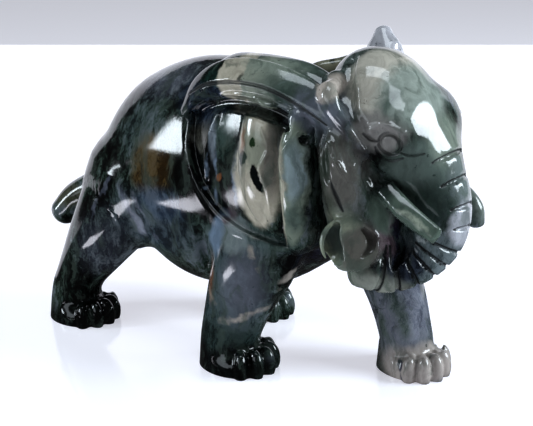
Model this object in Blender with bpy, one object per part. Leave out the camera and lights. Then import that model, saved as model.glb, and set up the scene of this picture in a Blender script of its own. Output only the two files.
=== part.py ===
"""Jade elephant: a walking elephant carved from one block of stone.

Each form of the body, such as a leg, the trunk or an ear's rim, is a closed mesh
made with bmesh. The forms are then merged on a voxel grid, where every join has its
own fillet and every cut its own softness, as a carver leaves them. Forms are given
in parts, of which the figure is 96 high. The frame has +X towards the head, +Y
towards the elephant's left and +Z up. The soles stand on z = 0, and the origin lies
midway along the length and the width.
"""

import math

import bmesh
import bpy
import numpy as np
import openvdb
from mathutils import Matrix, Vector

# Sizes of the whole figure, in metres.
HEIGHT = 0.096
PARTS_HIGH = 96
PART = HEIGHT / PARTS_HIGH

# Fineness of the grid, in parts, and of the finished surface.
CELL = 0.5
TRIANGLES = 9600
MOST_BLEND = 7.0
LEAST_REACH = 2.0
NEAR_REACH = 0.99
SIDES = 48
HOOP_SIDES = 12
STEPS = 5

# Fillets where forms meet and where cuts run out.
HEAD_FILLET = 6
TRUNK_FILLET = 4
FACET_FILLET = 3
ROOT_FILLET = 2.5
BODY_FILLET = 2
EDGE_FILLET = 1
RIM_FILLET = 0.8
FOLD_FILLET = 0.6
LINE_FILLET = 0.2

# Sections, from a lens with sharp sides to a box: the power of the curve round a limb.
LENS = 1.3
ROUND = 2.0
FULL = 2.4
BOX = 4.0

# The block that the figure is carved from.
BLOCK_LOW = (-92, -36, -4)
BLOCK_HIGH = (74, 36, 100)

STONE_COLOUR = (0.13, 0.17, 0.15, 1.0)
STONE_ROUGHNESS = 0.12

# Body stations: x, y, z, half width, half depth.
TORSO = (
    (-61, 0, 37.5, 11, 9),
    (-54, 0, 39.5, 17, 15),
    (-45, 0, 43.6, 21, 21.2),
    (-33, 0, 48, 23.5, 30.2),
    (-18, 0, 50.4, 24.5, 34),
    (0, 0, 52.3, 24, 32.2),
    (16, 0, 56, 21, 26),
    (30, 0, 60, 17, 21),
    (40, 0, 64, 13, 17.5),
)
HIND_RIGHT = (
    (-41, -12, 46, 11, 15),
    (-46, -16, 35, 10, 13),
    (-51, -18.5, 26, 8.8, 10.5),
    (-57.5, -19.5, 15.5, 7.4, 7.8),
    (-60, -20, 8, 7.6, 7.8),
    (-60, -20, -4, 9, 9.2),
)
HIND_LEFT = (
    (-36, 12, 46, 11, 15),
    (-28, 15.5, 33, 9.8, 12),
    (-22, 17, 20, 8.2, 9),
    (-19.5, 17.5, 10, 7.4, 7.8),
    (-19, 17.5, -4, 8.8, 9),
)
FORE_RIGHT = (
    (10, -13, 50, 10, 14),
    (9.6, -16.5, 36, 9.5, 13.5),
    (5.5, -17.5, 24, 9, 10.8),
    (2, -18, 13, 8.2, 9),
    (1, -18, 7, 8.4, 8.8),
    (1, -18, -4, 9, 9.6),
)
FORE_LEFT = (
    (22, 9, 52, 10, 12),
    (30, 10, 38, 9, 10),
    (37.5, 11, 23, 8, 8.4),
    (41.5, 11, 11, 7.4, 7.6),
    (42, 11, 6, 7.6, 8),
    (42, 11, -4, 8.4, 8.8),
)
LEGS = ((HIND_RIGHT, 6), (HIND_LEFT, 6), (FORE_RIGHT, 3.5), (FORE_LEFT, 5))
TORSO_ENDS = (6, 6)
LEG_ENDS = (8, 0)
TAIL_ENDS = (4, 4)

# The crease behind the right foreleg, on the skin: x, z, half width, half depth.
FLANK_CREASE = ((-5, 41.5, 0.4, 0.5), (-6.4, 36.4, 1.2, 1.8), (-8.2, 30.5, 1.4, 2.6), (-9, 27, 1, 2))

# Feet: x, y, size, heading in degrees.
FEET = (
    (-58.5, -20, 1.0, 6),
    (2.5, -18, 1.05, 6),
    (43.5, 11, 0.95, -14),
    (-17.5, 17.5, 0.95, 0),
)
TOES = 5
TOE_SPREAD = 56
TOE_REACH = (8.6, 7.4)
TOE_RADII = (3.4, 2.3, 5.2)
TOE_LIFT = 2.6
TOE_FORWARD = 1.2
PAD_RADII = (9.6, 9.2, 6.5)
PAD_LIFT = 1.5
CREASE_REACH = (9.2, 8.4)
CREASE_SPREAD = 82
CREASE_POINTS = 7
CREASE_HEIGHT = 9.0
CREASE_DROP = 2.4
CREASE_SIZE = (1.5, 0.9)

TAIL = (
    (-56, 0, 40, 6, 6),
    (-66, -1, 36.5, 6, 6),
    (-74, -4, 32, 5.8, 5.6),
    (-78, -7, 27.5, 4.8, 4.6),
)

# The head: its neck, forehead and crown, then its right brow, facet and cheek, and the jaw.
NECK = ((22, 0, 62, 17, 17), (32, 0, 66.5, 14.5, 16.5), (42, 0, 71, 12, 15))
FOREHEAD = ((43.2, 0, 75.2), (20, 13.8, 12.6), (0, 45, 0))
CROWN = ((37, 0, 80), (11, 12, 11))
BROW_BOSS = ((51, 8, 75.5), (6.5, 6, 6))
FACET = ((60.2, 6.4, 76.9), (3, 13, 11), (0, -26.8, 12.5))
CHEEK = ((38, 12, 74, 5.4, 7), (37, 15, 67, 6.2, 7), (37.6, 14.4, 58, 6.2, 6.4), (38.6, 12.4, 49, 5.6, 5.4))
JAW = ((39, -6, 58, 9, 9), (44, -10, 50.5, 6.5, 6.2), (47.8, -11.3, 43.5, 3.8, 3.6))
TONGUE = ((46, -3, 54, 7, 7), (50, -4, 47, 7, 6), (51.5, -4.5, 40, 5, 4))
NAPE = ((11, 3, 82.4, 1.4, 1.4), (14.6, 5, 83.4, 2.2, 2.6), (20, 8.6, 84.6, 2.4, 2.8), (26, 12, 87, 2.4, 2.8))
NECK_ENDS = (6, 6)
NAPE_ENDS = (2, 2)
CHEEK_ENDS = (5, 4)
JAW_ENDS = (4, 2.5)
TONGUE_ENDS = (3, 3)
JAW_GAP = (
    (52, -11, 53, 1, 4),
    (52.8, -10.5, 48, 1.6, 4.5),
    (53, -10.5, 43.5, 1.6, 4),
    (52, -10.5, 39.5, 1, 3),
)
GAP_ENDS = (1.5, 1.5)

TRUNK = (
    (46, 0, 72, 11, 12),
    (52.2, 0, 64, 9.7, 9.8),
    (57, 0, 54, 8.4, 8.6),
    (57.5, -1, 46, 7.2, 7.2),
    (54.2, -4.5, 40, 6.4, 6.4),
    (48.5, -10, 37, 6.2, 6),
    (43, -15.5, 38.6, 5.6, 5.6),
)
TRUNK_ENDS = (6, 3)

# Grooves round the trunk: share of its length, first and last angle, size.
TRUNK_RINGS = (
    (0.177, 50, 135, 1.05),
    (0.258, 50, 135, 1.05),
    (0.35, 55, 128, 1.0),
    (0.43, 60, 122, 1.0),
    (0.53, 20, 172, 0.85),
    (0.6, 5, 190, 0.75),
    (0.665, 0, 190, 0.75),
    (0.735, 0, 190, 0.8),
    (0.815, 10, 200, 1.0),
    (0.9, 10, 200, 1.0),
)
RING_POINTS = 9
RING_THIN = 0.35
RING_WIDE = 0.7
RING_DEEP = 1.1
RING_ENDS = (0.6, 0.6)

TIP_HEART = (42, -18.8, 45.2)
TIP_TALL = 0.9
TIP_FACING = (0.42, -0.8, 0.38)
TIP_FLARE = ((-5, 5), (-2, 6.7), (0.5, 7.8), (2, 7.7))
TIP_ENDS = (3, 1.2)
TIP_DISH = (6.9, 1.6, 5.8)
TIP_DISH_OUT = 3.6
# Nostrils: across, up and out from the middle of the trunk's end, half width, half depth.
NOSTRILS = (
    (
        (-3.4, 4.6, 1.6, 0.9, 1.0),
        (-4.4, 1.6, 0.8, 1.9, 2.4),
        (-4, -2, 0.6, 2.5, 2.8),
        (-2.6, -5, 1.6, 1.7, 1.6),
    ),
    (
        (3.6, 3.8, 1.6, 0.7, 0.8),
        (5.6, 1.8, 1.2, 1.3, 1.6),
        (5.6, -1, 1.4, 1.1, 1.4),
        (4, -2.6, 2, 0.5, 0.6),
    ),
)

# Ridges and lines on the skin, which are given as x, z, half width, half depth.
STRIP_ENDS = (0.8, 0.8)
LINE_ENDS = (0.3, 0.3)
TEMPLE_ENDS = (2.4, 0.8)
RIDGE_FILLET = 1.2
BROW_FILLET = 1.6
SPAN = 2.0
EYE = (50.3, 72.2)
EYE_RADIUS = 2.85
EYE_GROOVE = 0.6
EYE_KEPT = 4.0
KEEPING = 0.00004
SKIN_FAR = 34
RING_FAR = 5
TEMPLE = (
    (31, 85.5, 2.6, 3),
    (34.3, 82, 2.4, 2.6),
    (37, 78.8, 1.7, 1.8),
    (41, 75, 1.3, 1.3),
    (44, 70, 0.8, 0.8),
)
TEMPLE_VALLEY = (
    (33.5, 91, 1, 0.8),
    (36.2, 86, 1.5, 1.2),
    (38.6, 81.5, 1.4, 1.2),
    (42, 77.6, 1, 1),
    (44.6, 74, 0.6, 0.5),
)
BROW = ((44.8, 75, 0.6, 0.3), (46.8, 76.6, 0.9, 0.4), (50, 77.2, 1, 0.4), (53.4, 76, 0.7, 0.3))
EYE_CORNER = ((53.3, 70.6, 0.4, 0.5), (55.4, 69.7, 0.5, 0.6), (57.4, 69.8, 0.3, 0.4))
HOLLOW = ((34.6, 71.4, 0.6, 0.9), (35.4, 67, 1.3, 1.4), (36.8, 62.2, 0.5, 0.7))
CHEEK_RIDGES = (
    ((35.8, 73.4, 0.7, 0.7), (38.2, 70.6, 1.1, 1), (40, 66.3, 1.1, 1), (41.9, 63, 0.7, 0.6)),
    ((42.2, 66, 0.7, 0.6), (43.2, 61, 1.2, 1.1), (44, 56.6, 0.8, 0.8)),
)
SOCKET = ((44.4, -15, 66.2, 1.5, 1.5), (46, -14.6, 63, 2.8, 2.4), (48.6, -13, 60, 2.8, 2.4))
SOCKET_ENDS = (1.4, 1)

TUSK_RIGHT = ((48, -11.6, 59, 3.1, 3.3), (56, -13.8, 55, 3, 3.2), (65, -14.4, 51, 2.3, 2.5))
TUSK_LEFT = (
    (47, 12, 57, 2.8, 3),
    (54.6, 13.6, 54.6, 2.6, 2.8),
    (59.4, 14, 50.6, 2.5, 2.7),
    (60.8, 13.8, 46.4, 2.1, 2.3),
)
TUSK_ENDS = (1, 0)
TUSK_LEFT_ENDS = (1, 1.4)

# The ear: its outline and that of its hollow as x, z, and its rims and folds.
EAR_OUTLINE = (
    (36, 83),
    (28, 87.2),
    (20, 89.2),
    (7, 89.6),
    (-4, 88.2),
    (-11.5, 82),
    (-14, 75),
    (-13, 66),
    (-11, 60.5),
    (-6.4, 52.4),
    (-1, 47.2),
    (6, 43),
    (14, 40),
    (24, 38.5),
    (29.5, 41),
    (31.2, 50),
    (31.6, 66),
)
BOWL_OUTLINE = (
    (-10.5, 72.5),
    (0, 77.5),
    (10, 79.8),
    (22, 78),
    (26.5, 74),
    (28, 60),
    (28, 44),
    (24, 41.5),
    (15, 43),
    (5, 46.6),
    (-4.4, 54),
    (-9.4, 63),
)
EAR_HEART = (10, 0, 58)
EAR_RADII = (38, 27.5, 37)
BOWL_RADII = (36, 24.6, 34.5)
EAR_ROOT = 8
EAR_DEEP = 36
EAR_ROOM = ((-20, 32), (52, 98))
ROOT_OUTLINE = ((-30, 30), (60, 30), (60, 110), (-30, 110))
RIM_RIGHT = (
    (46, -13, 66, 1.4, 2),
    (41, -15.6, 71.5, 2.8, 3.4),
    (34, -16.5, 77, 4, 5),
    (26, -16.5, 81, 5, 5.4),
    (14, -17, 84, 6, 5.4),
    (2, -17.5, 83.6, 6, 5.2),
    (-6, -19, 79.4, 4.8, 4.6),
    (-11, -21, 73, 2.4, 2.4),
)
RIM_LEFT = (
    (46, -13, 66, 1.4, 2),
    (41, -15.6, 71.5, 2.8, 3.4),
    (34, -16.5, 75, 4, 4.4),
    (26, -16.5, 75.4, 5, 5),
    (14, -17, 75.6, 5.4, 5),
    (2, -17.5, 75.6, 5.4, 5),
    (-6, -19, 74, 4.4, 4.4),
    (-11, -21, 70, 2.4, 2.4),
)
EAR_DROP_LEFT = 8
EAR_DROP_FROM = 66
EAR_DROP_OVER = 18
PEAK_LEFT = ((31, 13, 78, 10.5, 5), (28.4, 16, 87, 7.2, 4.2), (26.4, 18.5, 93.4, 2.6, 2.4))
FOLD_BROAD = (
    (14.8, -20.4, 77.4, 5.4, 4),
    (15.8, -21.8, 69, 6.6, 4.6),
    (16.2, -22.4, 60, 6.8, 4.8),
    (18.4, -22, 52, 5.6, 4.4),
    (22.6, -21, 45.5, 2.8, 3.4),
)
FOLD_NARROW = (
    (26, -18.8, 76.4, 2.8, 4),
    (25.6, -20.8, 68, 3.5, 4.8),
    (26.4, -21.4, 60, 3.5, 4.9),
    (27, -21.2, 51, 3.3, 4.6),
    (26.6, -20.2, 43, 3, 3.6),
)
RIM_SHADOW = (
    (-9, -21.6, 70.4, 1.6, 1.0),
    (-6, -21.8, 73.8, 2.6, 1.7),
    (2, -22, 77.2, 3.4, 2.1),
    (13, -22, 77.6, 3.6, 2.1),
    (22, -21.4, 75.6, 3.2, 1.8),
    (28.5, -20.4, 71, 2, 1.2),
)
RIM_SHADOW_END = 27
SHADOW_ENDS = (1.5, 1.5)
FOLD_ENDS = (3, 2)
SLOT_ENDS = (2, 2)
FLUTE = ((0.5, 75, 0.7, 0.8), (-2.4, 65.2, 1.1, 1.2), (-3.4, 55.5, 0.7, 0.8))
SLOT = ((30, -20, 73, 0.8, 4), (31, -20.5, 65, 1.2, 6), (31.6, -20.5, 54, 1.4, 6), (31.2, -20, 44, 1.1, 5))


def clear_scene():
    for obj in list(bpy.data.objects):
        bpy.data.objects.remove(obj, do_unlink=True)


def mirrored(stations, side):
    """Stations of the right side, moved to the left when side is -1."""
    return [(x, y * side, *rest) for x, y, *rest in stations]


def smooth_rows(rows, steps=STEPS):
    """Points of a Catmull-Rom curve through the rows, with steps points to a stretch."""
    rows = np.asarray(rows, float)
    padded = np.vstack([2 * rows[0] - rows[1], rows, 2 * rows[-1] - rows[-2]])
    made = []
    for before, start, end, after in zip(padded, padded[1:], padded[2:], padded[3:]):
        for share in np.arange(steps) / steps:
            made.append(
                0.5
                * (
                    2 * start
                    + (end - before) * share
                    + (2 * before - 5 * start + 4 * end - after) * share**2
                    + (3 * start - before - 3 * end + after) * share**3
                )
            )
    made.append(rows[-1])
    return np.array(made)


def round_off(rows, first, last):
    """Rows with shrinking ones added beyond each end, so that it closes as a dome."""
    shares = np.sin(np.radians((25, 50, 70, 84)))
    head = (rows[0, :3] - rows[1, :3]) / np.linalg.norm(rows[0, :3] - rows[1, :3])
    tail = (rows[-1, :3] - rows[-2, :3]) / np.linalg.norm(rows[-1, :3] - rows[-2, :3])
    before, after = [], []
    for share in shares:
        width = math.sqrt(1 - share**2)
        before.insert(0, np.append(rows[0, :3] + head * first * share, rows[0, 3:] * width))
        after.append(np.append(rows[-1, :3] + tail * last * share, rows[-1, 3:] * width))
    return np.vstack(([before] if first else []) + [rows] + ([after] if last else []))


def directions(rows, across):
    """The way of the half width and of the half depth at each row of a path."""
    tangents = np.gradient(rows[:, :3], axis=0)
    tangents /= np.linalg.norm(tangents, axis=1)[:, None]
    wide = np.asarray(across, float)
    wides, deeps = [], []
    for tangent in tangents:
        wide = wide - tangent * (wide @ tangent)
        wide /= np.linalg.norm(wide)
        wides.append(wide)
        deeps.append(np.cross(tangent, wide))
    return wides, deeps


def limb(stations, across=(0, 1, 0), domes=(0, 0), power=ROUND, steps=STEPS):
    """A closed loft through stations of (x, y, z, half width, half depth).

    The half width lies along across at the first station, and turns with the path.
    """
    rows = smooth_rows(stations, steps)
    rows = round_off(rows, *domes)
    form = bmesh.new()
    rings = []
    angles = np.linspace(0, 2 * np.pi, SIDES, endpoint=False)
    cosines, sines = np.cos(angles), np.sin(angles)
    bulge_x = np.sign(cosines) * np.abs(cosines) ** (2 / power)
    bulge_y = np.sign(sines) * np.abs(sines) ** (2 / power)
    for row, wide, deep in zip(rows, *directions(rows, across)):
        ring = row[:3] + np.outer(bulge_x * row[3], wide) + np.outer(bulge_y * row[4], deep)
        rings.append([form.verts.new(point) for point in ring])
    for one, two in zip(rings, rings[1:]):
        for i in range(SIDES):
            j = (i + 1) % SIDES
            form.faces.new((one[i], one[j], two[j], two[i]))
    form.faces.new(rings[0][::-1])
    form.faces.new(rings[-1])
    return form


def blob(centre, radii, turn=(0, 0, 0)):
    """An ellipsoid, turned by degrees about X, Y and Z."""
    form = bmesh.new()
    bmesh.ops.create_icosphere(form, subdivisions=4, radius=1)
    place = Matrix.Translation(centre)
    for axis, angle in zip("ZYX", turn[::-1]):
        place = place @ Matrix.Rotation(math.radians(angle), 4, axis)
    form.transform(place @ Matrix.Diagonal((*radii, 1)))
    return form


def hoop(centre, facing, radius, wide, deep):
    """A closed ring about a centre; wide lies across the ring and deep along its axis."""
    axis = Vector(facing).normalized()
    right = axis.cross((0, 0, 1)).normalized()
    up = right.cross(axis)
    section = np.linspace(0, 2 * np.pi, HOOP_SIDES, endpoint=False)
    form = bmesh.new()
    rings = []
    for turn in np.linspace(0, 2 * np.pi, SIDES, endpoint=False):
        out = right * math.cos(turn) + up * math.sin(turn)
        middle = Vector(centre) + out * radius
        ring = [middle + out * (math.cos(a) * wide) + axis * (math.sin(a) * deep) for a in section]
        rings.append([form.verts.new(point) for point in ring])
    for one, two in zip(rings, rings[1:] + rings[:1]):
        for i in range(HOOP_SIDES):
            j = (i + 1) % HOOP_SIDES
            form.faces.new((one[i], one[j], two[j], two[i]))
    bmesh.ops.recalc_face_normals(form, faces=form.faces)
    return form


def prism(outline, near, far):
    """An outline of (x, z) points rounded by a curve and extruded along y."""
    rows = np.array([(x, near, z) for x, z in outline], float)
    rows = smooth_rows(np.vstack([rows, rows[:1]]), 4)[:-1]
    form = bmesh.new()
    face = form.faces.new([form.verts.new(row) for row in rows])
    made = bmesh.ops.extrude_face_region(form, geom=[face])
    moved = [item for item in made["geom"] if isinstance(item, bmesh.types.BMVert)]
    bmesh.ops.translate(form, verts=moved, vec=(0, far - near, 0))
    bmesh.ops.recalc_face_normals(form, faces=form.faces)
    return form


class Clay:
    """A block on a grid that holds, in each cell, the distance to the surface."""

    def __init__(self, low, high, cell):
        self.cell = cell
        self.low = np.floor(np.array(low) / cell).astype(int)
        self.shape = np.ceil(np.array(high) / cell).astype(int) - self.low + 1
        self.field = np.full(self.shape, MOST_BLEND + 2 * cell, np.float32)

    def sample(self, form, reach):
        """The cells within reach of a form, and its distance in each of them."""
        bmesh.ops.triangulate(form, faces=form.faces)
        form.verts.index_update()
        points = np.array([vertex.co for vertex in form.verts], np.float32)
        faces = np.array([[v.index for v in face.verts] for face in form.faces], np.uint32)
        form.free()
        grid = openvdb.FloatGrid.createLevelSetFromPolygons(
            points,
            triangles=faces[:, ::-1].copy(),
            transform=openvdb.createLinearTransform(self.cell),
            halfWidth=reach / self.cell,
        )
        start = np.floor((points.min(0) - reach) / self.cell).astype(int)
        stop = np.ceil((points.max(0) + reach) / self.cell).astype(int) + 1
        start = np.maximum(start, self.low)
        stop = np.minimum(stop, self.low + self.shape)
        distance = np.empty(stop - start, np.float32)
        grid.copyToArray(distance, ijk=tuple(int(i) for i in start))
        cells = tuple(slice(a, b) for a, b in zip(start - self.low, stop - self.low))
        return cells, distance

    def join(self, cells, distance, blend, sign):
        """Adds a shape by its distance (sign 1), or cuts it away (sign -1), with a fillet."""
        here = self.field[cells] * sign
        merged = np.minimum(here, distance)
        if blend:
            near = np.maximum(blend - np.abs(here - distance), 0) / blend
            merged -= near * near * blend / 4
        reach = distance.max()
        self.field[cells] = np.where(distance < NEAR_REACH * reach, merged, here) * sign

    def add(self, form, blend=0.0):
        self.join(*self.sample(form, max(blend, LEAST_REACH) + 2 * self.cell), blend, 1)

    def cut(self, form, blend=0.0):
        self.join(*self.sample(form, max(blend, LEAST_REACH) + 2 * self.cell), blend, -1)

    def keep(self, form, blend=0.0):
        """Leaves only what lies inside a form."""
        cells, distance = self.sample(form, MOST_BLEND)
        outside = np.full(self.shape, MOST_BLEND, np.float32)
        outside[cells] = distance
        near = np.maximum(blend - np.abs(self.field - outside), 0) / blend
        self.field = np.maximum(self.field, outside) + near * near * blend / 4

    def take(self, other, blend, sign):
        """Adds another block on the same grid (sign 1), or cuts it away (sign -1)."""
        start = np.maximum(self.low, other.low)
        stop = np.minimum(self.low + self.shape, other.low + other.shape)
        mine, its = [
            tuple(slice(a, b) for a, b in zip(start - block.low, stop - block.low))
            for block in (self, other)
        ]
        self.join(mine, other.field[its], blend, sign)

    def values(self, points):
        """The distance to the surface at each of some points, between the cells."""
        places = points / self.cell - self.low
        base = np.floor(places).astype(int)
        shares = places - base
        total = np.zeros(len(points))
        for corner in np.ndindex(2, 2, 2):
            weights = np.where(corner, shares, 1 - shares).prod(axis=1)
            total += weights * self.field[tuple((base + corner).T)]
        return total

    def surface(self, centre, way, far):
        """Where a line that comes in from far along way, towards centre, meets the surface."""
        centre, way = np.asarray(centre, float), np.asarray(way, float)
        steps = np.arange(far, 0, -self.cell / 2)
        values = self.values(centre + np.outer(steps, way))
        inside = int(np.argmax(values < 0))
        share = values[inside - 1] / (values[inside - 1] - values[inside])
        step = steps[inside - 1] + (steps[inside] - steps[inside - 1]) * share
        return centre + way * step

    def skin(self, x, z, side):
        """The y at which the surface lies at (x, z), on the right (1) or the left (-1)."""
        return self.surface((x, 0, z), (0, -side, 0), SKIN_FAR)[1]

    def facing(self, x, z, side):
        """The way the surface looks at (x, z), on the right (1) or the left (-1)."""
        rise_x = self.skin(x + SPAN, z, side) - self.skin(x - SPAN, z, side)
        rise_z = self.skin(x, z + SPAN, side) - self.skin(x, z - SPAN, side)
        return Vector((rise_x * side, -2 * SPAN * side, rise_z * side)).normalized()

    def strip(self, stations, side=1, across=(0, 1, 0), domes=STRIP_ENDS):
        """A limb that follows the skin through stations of (x, z, half width, half depth)."""
        rows = smooth_rows(stations)
        path = [(x, self.skin(x, z, side), z, wide, deep) for x, z, wide, deep in rows]
        return limb(path, across=across, domes=domes, steps=1)

    def mesh(self, name):
        grid = openvdb.FloatGrid(MOST_BLEND + 2 * self.cell)
        grid.transform = openvdb.createLinearTransform(self.cell)
        grid.copyFromArray(self.field, ijk=tuple(int(i) for i in self.low))
        points, _, quads = grid.convertToPolygons(isovalue=0.0, adaptivity=0.0)
        mesh = bpy.data.meshes.new(name)
        mesh.from_pydata(points * PART, [], quads.tolist())
        return mesh


def foot_frame(x, y, heading):
    """The middle of a foot, its way ahead and its way to the left."""
    turn = math.radians(heading)
    ahead = np.array((math.cos(turn), math.sin(turn), 0))
    left = np.array((-math.sin(turn), math.cos(turn), 0))
    return np.array((x, y, 0)), ahead, left


def foot(clay, x, y, size, heading):
    """The pad and the toes of one foot."""
    middle, ahead, left = foot_frame(x, y, heading)
    pad = [radius * size for radius in PAD_RADII[:2]] + [PAD_RADII[2]]
    clay.add(blob(middle + ahead * PAD_LIFT + (0, 0, PAD_LIFT), pad, (0, 0, heading)), EDGE_FILLET)
    for i in range(TOES):
        angle = math.radians(TOE_SPREAD * (2 * i / (TOES - 1) - 1))
        out = ahead * (TOE_FORWARD + math.cos(angle) * TOE_REACH[0] * size)
        out = out + left * math.sin(angle) * TOE_REACH[1] * size
        turn = (0, 0, heading + math.degrees(angle))
        clay.add(blob(middle + out + (0, 0, TOE_LIFT), TOE_RADII, turn), FOLD_FILLET)


def ankle_crease(clay, x, y, size, heading):
    """The groove that runs round the front of an ankle, above the toes."""
    middle, ahead, left = foot_frame(x, y, heading)
    path = []
    for angle in np.radians(np.linspace(-CREASE_SPREAD, CREASE_SPREAD, CREASE_POINTS)):
        out = ahead * math.cos(angle) * CREASE_REACH[0] + left * math.sin(angle) * CREASE_REACH[1]
        height = CREASE_HEIGHT * size - CREASE_DROP * math.sin(angle) ** 2
        path.append((*(middle + out * size + (0, 0, height)), *CREASE_SIZE))
    clay.cut(limb(path, across=(1, 0, 0), domes=STRIP_ENDS, power=LENS), FOLD_FILLET)


def body(clay):
    """The torso, the four legs on their feet and the tail."""
    clay.add(limb(TORSO, domes=TORSO_ENDS))
    for stations, blend in LEGS:
        clay.add(limb(stations, domes=LEG_ENDS), blend)
    clay.cut(clay.strip(FLANK_CREASE, across=(1, 0, 0)), BODY_FILLET)
    for place in FEET:
        foot(clay, *place)
    for place in FEET:
        ankle_crease(clay, *place)
    clay.add(limb(TAIL, domes=TAIL_ENDS), BODY_FILLET)


def skull(clay):
    """The neck, forehead, brows, cheeks, jaw and trunk."""
    clay.add(limb(NECK, domes=NECK_ENDS), HEAD_FILLET)
    clay.add(blob(*FOREHEAD), HEAD_FILLET)
    clay.add(blob(*CROWN), HEAD_FILLET)
    clay.add(limb(NAPE, domes=NAPE_ENDS), FOLD_FILLET)
    for side in (1, -1):
        (x, y, z), radii = BROW_BOSS
        clay.add(blob((x, y * side, z), radii), HEAD_FILLET)
        clay.add(limb(mirrored(CHEEK, side), across=(1, 0, 0), domes=CHEEK_ENDS), HEAD_FILLET)
    clay.add(limb(TRUNK, domes=TRUNK_ENDS), TRUNK_FILLET)
    (x, y, z), radii, (roll, pitch, yaw) = FACET
    for side in (1, -1):
        clay.cut(blob((x, -y * side, z), radii, (roll, pitch, -yaw * side)), FACET_FILLET)
    clay.add(limb(JAW, domes=JAW_ENDS), BODY_FILLET)
    clay.add(limb(TONGUE, domes=TONGUE_ENDS), BODY_FILLET)


def ring_groove(clay, rows, ways, share, first, last, size):
    """A groove across a limb, at a share of its length, between two angles of its section."""
    place = share * (len(rows) - 1)
    i = int(place)
    row = rows[i] + (rows[i + 1] - rows[i]) * (place - i)
    wide, deep = ways[0][i], ways[1][i]
    path = []
    for along in np.linspace(0, 1, RING_POINTS):
        angle = math.radians(first + (last - first) * along)
        out = wide * math.cos(angle) * row[3] + deep * math.sin(angle) * row[4]
        radius = np.linalg.norm(out)
        taper = size * (RING_THIN + (1 - RING_THIN) * math.sqrt(math.sin(math.pi * min(along, 1 - along))))
        spot = clay.surface(row[:3], out / radius, radius + RING_FAR)
        path.append((*spot, taper * RING_WIDE, taper * RING_DEEP))
    clay.cut(limb(path, across=np.cross(wide, deep), domes=RING_ENDS, power=LENS), FOLD_FILLET)


def trunk_rings(clay):
    rows = smooth_rows(TRUNK)
    ways = directions(rows, (0, 1, 0))
    for ring in TRUNK_RINGS:
        ring_groove(clay, rows, ways, *ring)
    clay.cut(limb(JAW_GAP, across=(1, 0, 0), domes=GAP_ENDS), EDGE_FILLET)


def trunk_tip(clay):
    """The flared end of the trunk, which looks out beside the right tusk, with its nostrils."""
    heart = np.array(TIP_HEART)
    facing = np.array(TIP_FACING) / np.linalg.norm(TIP_FACING)
    flare = [(*(heart + facing * step), size, size * TIP_TALL) for step, size in TIP_FLARE]
    clay.add(limb(flare, across=(1, 0, 0), domes=TIP_ENDS), EDGE_FILLET)
    right = np.cross((0, 0, 1), facing)
    right /= np.linalg.norm(right)
    above = np.cross(facing, right)
    yaw = math.degrees(math.atan2(right[1], right[0]))
    pitch = -math.degrees(math.asin(facing[2]))
    clay.cut(blob(heart + facing * TIP_DISH_OUT, TIP_DISH, (pitch, 0, yaw)), EDGE_FILLET)
    for stations in NOSTRILS:
        path = [
            (*(heart + right * across + above * up + facing * out), wide, deep)
            for across, up, out, wide, deep in stations
        ]
        clay.cut(limb(path, across=right, domes=STRIP_ENDS), RIM_FILLET)


def face(clay):
    """Eyes, tusk sockets and the ridges at the temples and on the cheeks."""
    for side in (1, -1):
        clay.add(clay.strip(TEMPLE, side, domes=TEMPLE_ENDS), RIDGE_FILLET)
        clay.cut(clay.strip(TEMPLE_VALLEY, side), BODY_FILLET)
        clay.add(clay.strip(BROW, side), BROW_FILLET)
        for ridge in CHEEK_RIDGES:
            clay.add(clay.strip(ridge, side), RIDGE_FILLET)
        clay.cut(clay.strip(HOLLOW, side, across=(1, 0, 0)), EDGE_FILLET)
        clay.cut(limb(mirrored(SOCKET, side), domes=SOCKET_ENDS), EDGE_FILLET)
        eye = (EYE[0], clay.skin(*EYE, side), EYE[1])
        clay.cut(hoop(eye, clay.facing(*EYE, side), EYE_RADIUS, EYE_GROOVE, EYE_GROOVE), LINE_FILLET)
        clay.cut(clay.strip(EYE_CORNER, side, domes=LINE_ENDS), LINE_FILLET)


def ear(clay, rim, side, drop):
    """An ear laid back over the shoulder; drop lowers its top. The right side is 1, the left -1."""
    near, far = sorted((-EAR_DEEP * side, 0))
    low, high = [(x, y, z) for (x, z), y in zip(EAR_ROOM, (near, far))]
    outline = []
    for x, z in EAR_OUTLINE:
        share = min(1, max(0, (z - EAR_DROP_FROM) / EAR_DROP_OVER))
        outline.append((x, z - drop * share))
    flap = Clay(low, high, clay.cell)
    flap.add(prism(outline, -EAR_DEEP * side, 0))
    flap.keep(blob(EAR_HEART, EAR_RADII), BODY_FILLET)
    flap.cut(prism(ROOT_OUTLINE, -EAR_ROOT * side, EAR_ROOT * side), ROOT_FILLET)
    flap.add(limb(mirrored(rim, side), domes=FOLD_ENDS, power=LENS), RIM_FILLET)
    clay.take(flap, EDGE_FILLET, 1)
    bowl = Clay(low, high, clay.cell)
    bowl.add(prism(BOWL_OUTLINE, -EAR_DEEP * side, -EAR_ROOT * side))
    bowl.cut(blob(EAR_HEART, BOWL_RADII), RIM_FILLET)
    clay.take(bowl, RIM_FILLET, -1)
    clay.add(clay.strip(FLUTE, side), FOLD_FILLET)
    for fold in (FOLD_BROAD, FOLD_NARROW):
        clay.add(limb(mirrored(fold, side), across=(1, 0, 0), domes=FOLD_ENDS, power=FULL), FOLD_FILLET)
    shadow = [(x, y, z - drop * (x < RIM_SHADOW_END), wide, deep) for x, y, z, wide, deep in RIM_SHADOW]
    clay.cut(limb(mirrored(shadow, side), domes=SHADOW_ENDS), RIM_FILLET)
    clay.cut(limb(mirrored(SLOT, side), across=(1, 0, 0), domes=SLOT_ENDS, power=BOX), FOLD_FILLET)


def tusks(clay):
    clay.add(limb(TUSK_RIGHT, domes=TUSK_ENDS, power=LENS), FOLD_FILLET)
    clay.add(limb(TUSK_LEFT, domes=TUSK_LEFT_ENDS), FOLD_FILLET)


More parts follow.
